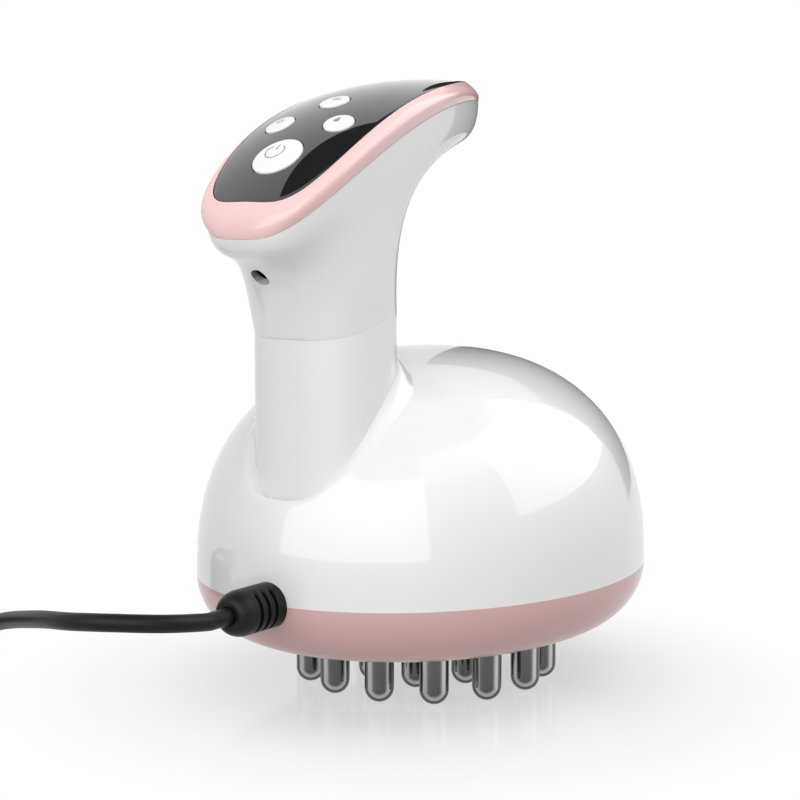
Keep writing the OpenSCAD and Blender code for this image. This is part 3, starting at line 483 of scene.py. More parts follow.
METALS = {
    "pin_nickel": dict(colour=(0.72, 0.7, 0.67), rough=(0.12, 0.2)),
    "steel": dict(colour=(0.55, 0.55, 0.56), rough=(0.22, 0.34), stretch=(1, 1, 12)),
    "aluminium": dict(colour=(0.78, 0.78, 0.79), rough=(0.25, 0.36), stretch=(1, 14, 1)),
    "weight_iron": dict(colour=(0.2, 0.2, 0.205), rough=(0.45, 0.6), grain=500, depth=0.02),
}
MATERIALS = {name: plastic(name, **looks) for name, looks in PLASTICS.items()}
# The pins' metal, with a painted reflection in its colour
MATERIALS["pin_chrome"] = chrome_with_painted_reflection("pin_chrome", PAINTED_REFLECTION_STOPS, rough=(0.05, 0.09))
MATERIALS.update({name: metal(name, **looks) for name, looks in METALS.items()})


# Meshes
def in_row(point):
    """A point measured from the centre of the pins, in metres in the part's own frame."""
    return Vector((point[0] + BODY_X, point[1], point[2])) * MM


def in_part(point):
    return Vector(point) * MM


def make_piece(name, mesh, slot, body, nodes=(), material=None):
    mesh.name = name
    mesh.set_sharp_from_angle(angle=SHARP)
    mesh.materials.clear()
    mesh.materials.append(MATERIALS[material or slot])
    piece = bpy.data.objects.new(name, mesh)
    bpy.context.scene.collection.objects.link(piece)
    if nodes:
        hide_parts(*nodes)
    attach(piece, body)
    return piece


def mesh_from(build, place=in_row):
    """A mesh from a bmesh that build fills, with every vertex put in the part's own frame."""
    shape = bmesh.new()
    build(shape)
    for vertex in shape.verts:
        vertex.co = place(vertex.co)
    bmesh.ops.recalc_face_normals(shape, faces=shape.faces)
    for face in shape.faces:
        face.smooth = True
    mesh = bpy.data.meshes.new("piece")
    shape.to_mesh(mesh)
    shape.free()
    return mesh


def bridge(shape, low, high):
    """Quads all the way round between two rings."""
    for i in range(len(low)):
        j = (i + 1) % len(low)
        shape.faces.new((low[i], low[j], high[j], high[i]))


def add_rings(shape, rings, looped=False, capped=False):
    """Quads between rings of points. looped joins the last ring to the first."""
    rows = [[shape.verts.new(p) for p in ring] for ring in rings]
    pairs = list(zip(rows, rows[1:]))
    if looped:
        pairs.append((rows[-1], rows[0]))
    for low, high in pairs:
        bridge(shape, low, high)
    if capped:
        shape.faces.new(rows[0])
        shape.faces.new(rows[-1])
    return rows


def angles(count):
    return [2 * math.pi * i / count for i in range(count)]


def quarter(steps):
    """The angles that divide a quarter turn, with both its ends."""
    return [math.pi / 2 * k / steps for k in range(steps + 1)]


def lathe(shape, profile, count, place):
    """Turns a profile of (radius, height) round local Z. Points at radius 0 close the ends."""
    rows = []
    for r, z in profile:
        spots = [(0, 0)] if r <= 0 else [(r * math.cos(t), r * math.sin(t)) for t in angles(count)]
        rows.append([shape.verts.new(place @ Vector((x, y, z))) for x, y in spots])
    for low, high in zip(rows, rows[1:]):
        if len(low) == len(high):
            bridge(shape, low, high)
            continue
        for i in range(count):
            j = (i + 1) % count
            shape.faces.new((low[0], high[j], high[i]) if len(low) == 1 else (low[i], low[j], high[0]))


def cutter_from(mesh):
    cutter = bpy.data.objects.new("cutter", mesh)
    bpy.context.scene.collection.objects.link(cutter)
    return cutter


def cut(piece, cutters):
    """Cuts the cutters out of the piece, one exact boolean for each, and removes them."""
    for cutter in cutters:
        modifier = piece.modifiers.new("cut", "BOOLEAN")
        modifier.operation = "DIFFERENCE"
        modifier.solver = "EXACT"
        modifier.object = cutter
    graph = bpy.context.evaluated_depsgraph_get()
    mesh = bpy.data.meshes.new_from_object(piece.evaluated_get(graph))
    piece.modifiers.clear()
    mesh.set_sharp_from_angle(angle=SHARP)
    piece.data = mesh
    for cutter in cutters:
        bpy.data.objects.remove(cutter)


# Body
def rounded(a, b, power, t):
    """The point at t on an ellipse that is squarer the higher its power is."""
    c, s = math.cos(t), math.sin(t)
    return (math.copysign(a * abs(c) ** (2 / power), c), math.copysign(b * abs(s) ** (2 / power), s))


def dome_z(x, y, inset):
    s = min(1.0, math.hypot(x / (BODY_A - inset), y / (BODY_B - inset)))
    return SEAM_Z + (DOME_H - inset) * (1 - s ** DOME_P) ** DOME_Q


def rim_reach(dx, dy, inset):
    """How far a ray from the stem's centre runs before it meets the body's outline."""
    ux, uy = dx / (BODY_A - inset), dy / (BODY_B - inset)
    cx = -STEM_BACK / (BODY_A - inset)
    half, k = ux * cx, ux * ux + uy * uy
    return (-half + math.sqrt(half * half - k * (cx * cx - 1))) / k


def parting(x):
    return PARTING_Z + PARTING_SLOPE * (x + STEM_BACK)


def stem_point(t, inset):
    x, y = rounded(STEM_A - inset, STEM_B - inset, STEM_N, t)
    return (x - STEM_BACK, y)


def collar(t, wall, way, inset):
    """A curve from the stem's foot out to the dome, as the distance from the wall and the height.

    It is a low bead that sinks away behind the stem.
    """
    def dome_at(out):
        return dome_z(wall[0] + out * way[0], wall[1] + out * way[1], inset)

    edge = dome_at(COLLAR_W)
    foot = edge + COLLAR_H * ease(abs(t - math.pi) / math.radians(COLLAR_TURN))
    step, near = 0.3 * COLLAR_W, 0.1
    fall = (dome_at(COLLAR_W - near) - edge) / near
    return (Vector((0, foot)), Vector((COLLAR_W / 2, foot + COLLAR_SWELL)),
            Vector((COLLAR_W - step, edge + step * fall)), Vector((COLLAR_W, edge)))


def parting_lip():
    """The edge at the parting line, which is slightly rounded off."""
    points = [stem_point(t, PARTING_SOFT) for t in angles(AROUND)]
    return [(x, y, parting(x)) for x, y in points]


def tube(shape, bore, r, low, high, place):
    lathe(shape, [(bore, low), (r, low), (r, high), (bore, high), (bore, low)], SMALL_AROUND, place)


def post(shape, at, low, high):
    """A hollow post that a case screw runs in."""
    place = Matrix.Translation(Vector((at[0], at[1], 0)))
    tube(shape, SCREW_BORE, POST_R, low, high, place)


def body_rings(inset):
    """Rings from the parting line down the stem, round the collar and over the dome."""
    collar_steps, dome_steps, stem_steps = 20, 64, 10
    columns = []
    for t in angles(AROUND):
        wx, wy = stem_point(t, inset)
        reach = math.hypot(wx + STEM_BACK, wy)
        dx, dy = (wx + STEM_BACK) / reach, wy / reach
        top = parting(wx)
        handles = collar(t, (wx, wy), (dx, dy), inset)
        foot = handles[0].y
        column = [(wx, wy, top + (foot - top) * k / stem_steps) for k in range(stem_steps)]
        for k in range(collar_steps + 1):
            out, z = bezier(*handles, k / collar_steps)
            column.append((wx + out * dx, wy + out * dy, z))
        start, end = reach + COLLAR_W, rim_reach(dx, dy, inset)
        for k in range(1, dome_steps + 1):
            r = start + (end - start) * math.sin(math.pi / 2 * k / dome_steps)
            px, py = -STEM_BACK + r * dx, r * dy
            column.append((px, py, SEAM_Z if k == dome_steps else dome_z(px, py, inset)))
        columns.append(column)
    return [list(ring) for ring in zip(*columns)]


def body_shell():
    def build(shape):
        outer, inner = body_rings(0.0), body_rings(WALL)
        lip = parting_lip()
        outer[0] = [(x, y, z - PARTING_SOFT) for x, y, z in outer[0]]
        add_rings(shape, [lip] + outer + inner[::-1], looped=True)
        for x, y in POSTS:
            post(shape, (x, y), SEAM_Z, dome_z(abs(x) + POST_EDGE, abs(y) + POST_EDGE, WALL) + WALL / 2)
    return mesh_from(build)


def base_rings(inset, steps):
    rings = []
    low = BASE_Z + inset
    for a in quarter(steps):
        s = BASE_FLAT + (1 - BASE_FLAT) * math.cos(a) ** (2 / BASE_CORNER)
        z = SEAM_Z - (SEAM_Z - low) * math.sin(a) ** (2 / BASE_CORNER)
        rings.append([((BODY_A - inset) * s * math.cos(t), (BODY_B - inset) * s * math.sin(t), z)
                      for t in angles(AROUND)])
    return rings


def circle_places():
    places = []
    for i in range(OUTER_COUNT):
        a = 2 * math.pi * (i + 0.5) / OUTER_COUNT
        places.append(("outer", OUTER_R * math.cos(a), OUTER_R * math.sin(a)))
    for i in range(INNER_COUNT):
        a = 2 * math.pi * i / INNER_COUNT
        places.append(("inner", INNER_R * math.cos(a), INNER_R * math.sin(a)))
    return places


def hole_loop(shape, x, y, r, z):
    return [shape.verts.new((x + r * math.cos(t), y + r * math.sin(t), z)) for t in angles(SMALL_AROUND)]


def ring_edges(shape, loop):
    edges = []
    for i in range(len(loop)):
        pair = (loop[i], loop[(i + 1) % len(loop)])
        edges.append(shape.edges.get(pair) or shape.edges.new(pair))
    return edges


def base_cover():
    """The pink base, with a flat underside that the pins and the case screws come through."""
    flat, outer_steps, inner_steps = 0.999, 40, 20
    holes = [(x, y, PIN_R + PIN_GAP, WALL) for _, x, y in circle_places()]
    holes += [(x, y, SCREW_R, SCREW_HOLE_DEPTH) for x, y in POSTS]

    def build(shape):
        rows = add_rings(shape, base_rings(0.0, outer_steps))
        edges = ring_edges(shape, rows[-1])
        for x, y, r, depth in holes:
            mouth = hole_loop(shape, x, y, r + HOLE_CHAMFER, BASE_Z)
            lip = hole_loop(shape, x, y, r, BASE_Z + HOLE_CHAMFER)
            end = hole_loop(shape, x, y, r, BASE_Z + depth)
            bridge(shape, mouth, lip)
            bridge(shape, lip, end)
            if depth < WALL:
                shape.faces.new(end)
            edges += ring_edges(shape, mouth)
        bmesh.ops.triangle_fill(shape, use_beauty=True, edges=edges)
        inner = add_rings(shape, base_rings(WALL, inner_steps))
        bridge(shape, rows[0], inner[0])
        shape.faces.new(inner[-1])
        for x, y in POSTS:
            post(shape, (x, y), PIN_TOP - POST_SINK, CHASSIS_Z)
    mesh = mesh_from(build)
    for face in mesh.polygons:
        if abs(face.normal.z) > flat:
            face.use_smooth = False
    return mesh


# Head
def egg(u, shape):
    blunt, taper = shape
    peak = blunt / (blunt + taper)
    return u ** blunt * (1 - u) ** taper / (peak ** blunt * (1 - peak) ** taper)


def outline(back, front, width, shape, t):
    u = min(1.0, max(0.0, (1 + math.cos(t)) / 2))
    return (-back + (back + front) * u, math.copysign(width * egg(u, shape), math.sin(t)))


def seam_height(x):
    return SEAM_TOP - SEAM_FALL * max(0.0, (HEAD_FRONT - x) / (HEAD_FRONT + HEAD_BACK)) ** SEAM_CURVE


def panel_height(x, y):
    fall = max(0.0, (PANEL_FRONT - x) / (PANEL_FRONT + PANEL_BACK)) ** PANEL_CURVE
    return PANEL_TOP - PANEL_FALL * fall - PANEL_CROWN * y * y


def seam_point(t, inset):
    x, y = outline(HEAD_BACK - inset, HEAD_FRONT - inset, HEAD_W - inset, HEAD_EGG, t)
    return Vector((x, y, seam_height(x)))


def panel_edge(t, out, drop):
    qx, qy = outline(PANEL_BACK, PANEL_FRONT, PANEL_W, PANEL_EGG, t)
    x, y = outline(PANEL_BACK + out, PANEL_FRONT + out, PANEL_W + out, PANEL_EGG, t)
    return Vector((x, y, panel_height(qx, qy) - drop))


def neck_ring(u, inset):
    ring = []
    for t in angles(HEAD_AROUND):
        wx, wy = stem_point(t, inset)
        low = Vector((wx, wy, parting(wx)))
        top = seam_point(t, inset)
        fore = ((1 + math.cos(t)) / 2) ** 2
        reach = math.hypot(wx + STEM_BACK, wy)
        out = Vector(((wx + STEM_BACK) / reach, wy / reach)) * NECK_SPREAD
        rise = RISE_BACK + (RISE_FRONT - RISE_BACK) * fore
        fall = ROUND_BACK + (ROUND_FRONT - ROUND_BACK) * fore
        first = low + Vector((out[0] - NECK_LEAN, out[1], 1)) * rise
        third = top + Vector((ROUND_IN * (1 - fore), 0, -fall))
        ring.append(bezier(low, first, third, top, u))
    return ring


def neck_shell():
    steps = 72

    def build(shape):
        outer = [neck_ring(k / steps, 0.0) for k in range(steps + 1)]
        outer[0] = [(p.x, p.y, p.z + PARTING_SOFT) for p in outer[0]]
        lip = [(p.x, p.y, p.z) for p in neck_ring(0.0, PARTING_SOFT)]
        inner = [neck_ring(k / steps, WALL) for k in range(steps + 1)]
        add_rings(shape, [lip] + outer + inner[::-1], looped=True)
    return mesh_from(build)


def rod(shape, r, low, high, count, place):
    lathe(shape, [(0, low), (r, low), (r, high), (0, high)], count, place)


def make_neck():
    """The neck with its strap recess, a slanting hole."""
    piece = make_piece("neck_skin", neck_shell(), "shell_white", "case", ["neck_shell"])
    turn = Vector(RECESS_WAY).to_track_quat("Z", "Y").to_matrix().to_4x4()
    place = Matrix.Translation(Vector(RECESS_AT)) @ turn

    def build(shape):
        rod(shape, RECESS_R, -RECESS_REACH, RECESS_REACH, PIN_AROUND, place)
    cut(piece, [cutter_from(mesh_from(build))])


def band_ring(u):
    ring = []
    for t in angles(HEAD_AROUND):
        low = seam_point(t, 0) + Vector((0, 0, JOINT))
        top = panel_edge(t, PANEL_GAP, 0)
        second = seam_point(t, -BAND_LOW_OUT)
        second.z = low.z + BAND_LOW_RISE
        third = panel_edge(t, BAND_HIGH_OUT, BAND_HIGH_DROP)
        third.z += (low.z - top.z) * BAND_HIGH_SHARE
        ring.append(bezier(low, second, third, top, u))
    return ring


def head_band():
    steps = 20

    def build(shape):
        rings = [band_ring(k / steps) for k in range(steps + 1)]
        rings.append([panel_edge(t, PANEL_GAP, PANEL_T + JOINT) for t in angles(HEAD_AROUND)])
        rings.append([panel_edge(t, -LEDGE_W, PANEL_T + JOINT) for t in angles(HEAD_AROUND)])
        rings.append([seam_point(t, WALL) + Vector((0, 0, JOINT)) for t in angles(HEAD_AROUND)])
        add_rings(shape, rings, looped=True)
    return mesh_from(build)


# Panel and buttons
def panel_normal(x, y):
    h = 0.01
    dx = (panel_height(x + h, y) - panel_height(x - h, y)) / (2 * h)
    dy = (panel_height(x, y + h) - panel_height(x, y - h)) / (2 * h)
    return Vector((-dx, -dy, 1)).normalized()


def on_panel(at):
    """Turns local X to the way up the panel, local Z to its normal, and moves to the place at."""
    normal = panel_normal(*at)
    side = normal.cross(Vector((1, 0, 0))).normalized()
    up = side.cross(normal)
    turn = Matrix((up, side, normal)).transposed().to_4x4()
    return Matrix.Translation(Vector((at[0], at[1], panel_height(*at)))) @ turn


BUTTONS = {
    "power": (POWER_AT, POWER_D / 2),
    "heat": (HEAT_AT, SMALL_D / 2),
    "strength": (STRENGTH_AT, SMALL_D / 2),
    "mode": (MODE_AT, SMALL_D / 2),
}


def panel_plate():
    """The panel's plate before the button holes are cut."""
    rows = 24
    bevel = PANEL_SOFT * PANEL_SOFT_SHARE

    def ring(share, drop, out=0.0):
        points = []
        for t in angles(HEAD_AROUND):
            x, y = outline(PANEL_BACK - out, PANEL_FRONT - out, PANEL_W - out, PANEL_EGG, t)
            mid = POWER_AT[0]
            px, py = mid + (x - mid) * share, y * share
            points.append((px, py, panel_height(px, py) - drop))
        return points

    def build(shape):
        top = [ring(k / rows, 0.0, PANEL_SOFT) for k in range(1, rows + 1)]
        edge = [ring(1.0, bevel, bevel), ring(1.0, PANEL_SOFT), ring(1.0, PANEL_T)]
        bottom = [ring(k / rows, PANEL_T) for k in range(rows - 1, 0, -1)]
        made = add_rings(shape, top + edge + bottom)
        for row, drop in ((made[0], 0.0), (made[-1], PANEL_T)):
            mid = shape.verts.new((POWER_AT[0], 0, panel_height(POWER_AT[0], 0) - drop))
            for i in range(len(row)):
                shape.faces.new((row[i], row[(i + 1) % len(row)], mid))
    return mesh_from(build)


def make_panel():
    piece = make_piece("panel_gloss", panel_plate(), "panel_black", "case", ["control_panel"])
    cutters = []
    for at, r in BUTTONS.values():
        def build(shape):
            above, below = 2, FLANGE_DEPTH + 1
            rod(shape, r + BUTTON_GAP, -below, above, FINE_AROUND, on_panel(at))
        cutters.append(cutter_from(mesh_from(build)))
    cut(piece, cutters)
    add_board_posts(piece.data)


def add_board_posts(mesh):
    """Three posts under the panel that the button board is screwed to."""
    middle, normal = board_frame()
    along = Vector((normal.z, 0, -normal.x))
    shape = bmesh.new()
    shape.from_mesh(mesh)
    for x, y in BOARD_POSTS:
        foot = middle + along * x + Vector((0, y, 0))
        # The length is drawn in steps to where the post meets the curved panel.
        length = BOARD_DROP
        for _ in range(6):
            over = foot + normal * length
            length += (panel_height(over.x, over.y) - over.z) * normal.z
        side = Vector((0, 1, 0))
        turn = Matrix((side.cross(normal), side, normal)).transposed().to_4x4()
        place = Matrix.Translation(in_row(foot)) @ Matrix.Scale(MM, 4) @ turn
        tube(shape, BOARD_POST_R - BOARD_POST_WALL, BOARD_POST_R, 0, length - PANEL_T / 2, place)
    shape.to_mesh(mesh)
    shape.free()


def board_frame():
    """The plane of the board under the panel, as its middle and its normal."""
    low = Vector((*POWER_AT, panel_height(*POWER_AT)))
    high = Vector((*MODE_AT, panel_height(*MODE_AT)))
    chord = high - low
    normal = Vector((-chord.z, 0, chord.x)).normalized()
    return (low + high) / 2 - normal * BOARD_DROP, normal


def plunger_length(at):
    middle, normal = board_frame()
    top, way = Vector((*at, panel_height(*at))), panel_normal(*at)
    reach = ((top - middle).dot(normal) - SWITCH_H) / way.dot(normal)
    return reach - BUTTON_TRAVEL - PRESS_GAP - FLANGE_DEPTH - FLANGE_T


def cap_height(name, r):
    """Height of a button's top above the panel, at the distance r from its middle."""
    crown = POWER_CROWN if name == "power" else SMALL_CROWN
    share = r / (BUTTONS[name][1] - BUTTON_EDGE)
    return BUTTON_PROUD - crown * share * share


def make_button(name):
    at, r = BUTTONS[name]
    flange = -FLANGE_DEPTH - FLANGE_T
    foot = flange - plunger_length(at)
    edge_steps, top_steps = 6, 9

    def build(shape):
        profile = [(0, foot), (PLUNGER_R, foot), (PLUNGER_R, flange), (r + FLANGE_W, flange),
                   (r + FLANGE_W, -FLANGE_DEPTH), (r, -FLANGE_DEPTH)]
        rim = cap_height(name, r - BUTTON_EDGE)
        for a in quarter(edge_steps):
            profile.append((r - BUTTON_EDGE * (1 - math.cos(a)), rim - BUTTON_EDGE * (1 - math.sin(a))))
        for k in range(1, top_steps):
            near = (r - BUTTON_EDGE) * (1 - k / top_steps)
            profile.append((near, cap_height(name, near)))
        profile.append((0, BUTTON_PROUD))
        lathe(shape, profile, FINE_AROUND, on_panel(at))
    make_piece(name + "_cap", mesh_from(build), "button_white", name + "_key", [name + "_button"])


def arc(x, y, r, start, end):
    """Points on an arc in a button's own plane, its angles in degrees from the way up the panel."""
    steps = 28
    turns = [math.radians(start + (end - start) * k / steps) for k in range(steps + 1)]
    return [(x + r * math.cos(a), y + r * math.sin(a)) for a in turns]


def stroke(shape, name, line, widths):
    """A raised line along points on a button, as wide at each point as widths says."""
    place = on_panel(BUTTONS[name][0])
    rings = []
    for i, (x, y) in enumerate(line):
        ahead, behind = line[min(i + 1, len(line) - 1)], line[max(i - 1, 0)]
        way = Vector((ahead[0] - behind[0], ahead[1] - behind[1])).normalized()
        half = widths[i] / 2
        ring = []
        for side, lift in ((1, MARK_LIFT), (-1, MARK_LIFT), (-1, -MARK_LIFT), (1, -MARK_LIFT)):
            px, py = x - side * half * way.y, y + side * half * way.x
            ring.append(place @ Vector((px, py, cap_height(name, math.hypot(px, py)) + lift)))
        rings.append(ring)
    add_rings(shape, rings, capped=True)


def even(line):
    return line, [MARK_LINE] * len(line)


def drop(x, y, length, width):
    """A line that swells and closes again like a drop of water."""
    steps = 16
    line = [(x + length * (k / steps - 0.5), y) for k in range(steps + 1)]
    swell = [math.sin(math.pi * (k / steps) ** DROP_TAPER) for k in range(steps + 1)]
    return line, [DROP_TIP + width * share for share in swell]


MARKS = {
    "power": [even(arc(1.4, 1.4, 2.5, 38, 322)), even([(1.9, 1.4), (3.0, 1.4), (4.1, 1.4)])],
    "heat": [even(arc(1.5, 0.6, 0.9, 40, 320)), even([(1.3, -0.6), (1.9, -0.2), (1.6, 0.3), (2.2, 0.7)])],
    "strength": [drop(1.0, 1.0, 2.4, 1.5)],
    "mode": [even([(0.0, -1.3), (1.1, -0.9), (0.1, -0.4), (1.1, 0.0), (0.1, 0.5), (1.1, 0.9)]),
             even([(1.6, -1.2), (1.6, 0.0), (1.6, 1.1)])],
}


def make_mark(name):
    def build(shape):
        for line, widths in MARKS[name]:
            stroke(shape, name, line, widths)
    make_piece(name + "_mark", mesh_from(build), "button_white", name + "_key", material="icon_grey")


# Massage pins
def pin_profile():
    """A pin from its round tip up to the top of its shank, which a nut holds inside the base."""
    tip = [(PIN_R * math.sin(a), PIN_R * (1 - math.cos(a))) for a in quarter(12)]
    return tip + [(PIN_R, PIN_TOP - PIN_EDGE), (PIN_R - PIN_EDGE, PIN_TOP), (SHANK_R, PIN_TOP),
                  (SHANK_R, SHANK_TOP), (0, SHANK_TOP)]


def make_pins(circle):
    """All pins of one circle, in one piece."""
    def build(shape):
        for which, x, y in circle_places():
            if which == circle:
                lathe(shape, pin_profile(), PIN_AROUND, Matrix.Translation(Vector((x, y, 0))))
    make_piece(circle + "_pin_set", mesh_from(build), "pin_chrome", "case", [circle + "_pins"])


# Strain relief
def facing_back(place):
    """Turns local Z to the -X of the place, which is the way out of the body."""
    return place @ Matrix(((0, 0, -1), (0, 1, 0), (1, 0, 0))).to_4x4()


def groove_share(t):
    """How far a groove is cut at the angle t. It stops short at a web above and one below."""
    return ease((GROOVE_WEB - abs(math.cos(t))) / GROOVE_RUN)


def make_relief():
    start = RELIEF_INNER
    length = RELIEF_REACH - start
    flange = (FLANGE_NEAR - start, FLANGE_FAR - start)
    # Each station is a radius, a distance from the inner end and the depth of a groove there.
    stations = [(RELIEF_TAIL_R, 0, 0), (RELIEF_TAIL_R, flange[0], 0), (FLANGE_R, flange[0], 0),
                (FLANGE_R, flange[1], 0), (RELIEF_R, flange[1], 0)]
    for i in range(GROOVE_COUNT):
        near = BODY_A + GROOVE_START + i * GROOVE_PITCH - start
        far = near + GROOVE_W
        stations += [(RELIEF_R, near - GROOVE_LEAD, 0), (RELIEF_R, near, GROOVE_LIP),
                     (RELIEF_R, near + GROOVE_FLANK, GROOVE_DEPTH),
                     (RELIEF_R, far - GROOVE_FLANK, GROOVE_DEPTH),
                     (RELIEF_R, far, GROOVE_LIP), (RELIEF_R, far + GROOVE_LEAD, 0)]
    for a in quarter(12):
        reach = length - NOSE_LEN * (1 - math.sin(a))
        stations.append((NOSE_R + (RELIEF_R - NOSE_R) * math.cos(a), reach, 0))
    stations += [(CORD_R + MOUTH_GAP, length, 0), (CORD_R, length - MOUTH_DEPTH, 0)]
    place = facing_back(Matrix.Translation(Vector((-start, 0, SEAM_Z))))

    def build(shape):
        rings = []
        for r, s, depth in stations:
            ring = []
            for t in angles(FINE_AROUND):
                reach = r - depth * groove_share(t)
                ring.append(place @ Vector((reach * math.cos(t), reach * math.sin(t), s)))
            rings.append(ring)
        add_rings(shape, rings, capped=True)
    make_piece("relief_sleeve", mesh_from(build), "relief_rubber", "case", ["strain_relief"])


# Plug with its pins, and the tie round the coil
def superellipse(a, b, power, count):
    return [rounded(a, b, power, t) for t in angles(count)]


def at_plug():
    """Local X points back along the lead, and the plug runs towards local -X."""
    return Matrix.Translation(Vector(TAIL_ROUTE[-1])) @ Matrix.Rotation(math.radians(PLUG_TURN), 4, "Z")


def make_plug():
    """A flat moulded plug: a round neck that widens into the grip, and a face square to the pins."""
    # Each station is a share of the plug's length, half a width, half a height and a power.
    stations = [(0.0, 3.5, 3.5, 2.0), (0.06, 3.5, 3.5, 2.0), (0.2, 3.7, 3.6, 2.0),
                (0.3, 5.5, 4.6, 2.3), (0.45, 10.0, 5.6, 2.8), (0.62, 14.6, 6.2, 3.4),
                (0.8, 16.8, 6.7, 4.0), (0.94, 17.4, 6.95, 4.5), (0.985, 17.3, 6.9, 4.5),
                (1.0, 16.9, 6.5, 4.5)]
    place = at_plug()

    def build(shape):
        rings = []
        for share, half_w, half_h, power in stations:
            ring = superellipse(half_w, half_h, power, PLUG_AROUND)
            rings.append([place @ Vector((-PLUG_LEN * share, p, q)) for p, q in ring])
        add_rings(shape, rings, capped=True)
    return make_piece("plug_grip", mesh_from(build, in_part), "plug_black", "case", ["plug_body"])


def make_plug_pins():
    profile = [(0, 0), (PLUG_PIN_R, 0), (PLUG_PIN_R, PLUG_PIN_LEN - PLUG_PIN_ROUND)]
    for a in quarter(8)[1:-1]:
        profile.append((PLUG_PIN_R * math.cos(a), PLUG_PIN_LEN - PLUG_PIN_ROUND * (1 - math.sin(a))))
    profile.append((0, PLUG_PIN_LEN))

    def build(shape):
        for side in (-1, 1):
            foot = Matrix.Translation(Vector((-PLUG_LEN, side * PLUG_PITCH / 2, 0)))
            lathe(shape, profile, SMALL_AROUND, facing_back(at_plug() @ foot))
    return make_piece("plug_prongs", mesh_from(build, in_part), "pin_nickel", "case", ["plug_pins"])


def make_tie():
    """A strap round the turns, with rounded corners."""
    half = TIE_W / 2
    inner = math.sqrt((COIL_OUTER - COIL_PITCH * (LAYER_TURNS - 0.5)) ** 2 - half ** 2) - CORD_R - TIE_GAP
    outer = COIL_OUTER - COIL_PITCH / 2 + CORD_R + TIE_GAP
    top = COIL_Z + (LAYERS - 1) * COIL_PITCH + CORD_R + TIE_GAP
    middle_x, middle_z = -(inner + outer) / 2, (top + TIE_T) / 2
    half_w, half_h = (outer - inner) / 2, (top - TIE_T) / 2

    def strap(extra, y):
        return [(COIL_AT[0] + middle_x + p, COIL_AT[1] + y, middle_z + q)
                for p, q in superellipse(half_w + extra, half_h + extra, TIE_SQUARENESS, FINE_AROUND)]

    def build(shape):
        near, far = TIE_EDGE, TIE_T - TIE_EDGE
        rings = [strap(far, -half), strap(TIE_T, -half + near), strap(TIE_T, half - near), strap(far, half),
                 strap(near, half), strap(0, half - near), strap(0, -half + near), strap(near, -half)]
        add_rings(shape, rings, looped=True)
    return make_piece("lead_tie", mesh_from(build, in_part), "tie_black", "case", ["cord_tie"])


# Inner pieces
def paint_cad_nodes():
    """Gives every CAD node that stays the material of its slot in the record."""
    for subpart in frame["record"]["subparts"]:
        node = NODES.get(subpart["node"])
        if node and not node.hide_render:
            node.data.materials.clear()
            node.data.materials.append(MATERIALS[subpart["material_slot"]])


# Floor, light and background
def disc(radius):
    def build(shape):
        rim = [(radius * math.cos(t), radius * math.sin(t), 0) for t in angles(FINE_AROUND)]
        shape.faces.new([shape.verts.new(point) for point in rim])
    return mesh_from(build, Vector)


def add_math(tree, operation, first, second):
    """A math node, each of whose two inputs is a number or the socket that feeds it."""
    node = tree.nodes.new("ShaderNodeMath")
    node.operation = operation
    for slot, source in zip(node.inputs, (first, second)):
        if isinstance(source, float):
            slot.default_value = source
        else:
            tree.links.new(source, slot)
    return node.outputs[0]


def mix_shaders(tree, share, first, second):
    mix = tree.nodes.new("ShaderNodeMixShader")
    for slot, source in zip(mix.inputs, (share, first, second)):
        tree.links.new(source, slot)
    return mix.outputs[0]


def make_floor():
    """A pale glossy floor which keeps the object's shadow and is clear from below. Its white glow is held
    back near the object, which paints shade round it on top of the real shadow, and it fades out into full
    white further out.
    """
    floor = bpy.data.objects.new("floor", disc(FLOOR_REACH))
    bpy.context.scene.collection.objects.link(floor)
    material, tree, shader = new_material("floor_white")
    clouds = add_noise(tree, FLOOR_CLOUDS)
    colour_from(tree, shader, clouds, (FLOOR_WHITE,) * 3, (FLOOR_WHITE + FLOOR_VARY,) * 3)
    shader.inputs["Roughness"].default_value = FLOOR_ROUGH
    white = tree.nodes.new("ShaderNodeEmission")
    coords = tree.nodes.new("ShaderNodeTexCoord")
    reach = tree.nodes.new("ShaderNodeVectorMath")
    reach.operation = "LENGTH"
    # Painted shade: less white glow near the object, rising to full white further out
    painted_shade_fade = tree.nodes.new("ShaderNodeMapRange")
    painted_shade_fade.interpolation_type = "SMOOTHSTEP"
    painted_shade_fade.inputs["From Min"].default_value = PAINTED_SHADE_FADE_START
    painted_shade_fade.inputs["From Max"].default_value = PAINTED_SHADE_FADE_END
    painted_shade_fade.inputs["To Min"].default_value = FLOOR_GLOW_IN_PAINTED_SHADE
    tree.links.new(coords.outputs["Object"], reach.inputs[0])
    tree.links.new(reach.outputs["Value"], painted_shade_fade.inputs["Value"])
    path = tree.nodes.new("ShaderNodeLightPath")
    seen = add_math(tree, "SUBTRACT", 1.0, path.outputs["Is Diffuse Ray"])
    share = add_math(tree, "MULTIPLY", painted_shade_fade.outputs["Result"], seen)
    glowing = mix_shaders(tree, share, shader.outputs[0], white.outputs[0])
    side = tree.nodes.new("ShaderNodeNewGeometry")
    clear = tree.nodes.new("ShaderNodeBsdfTransparent")
    surface = mix_shaders(tree, side.outputs["Backfacing"], glowing, clear.outputs[0])
    tree.links.new(surface, tree.nodes["Material Output"].inputs["Surface"])
    floor.data.materials.append(material)


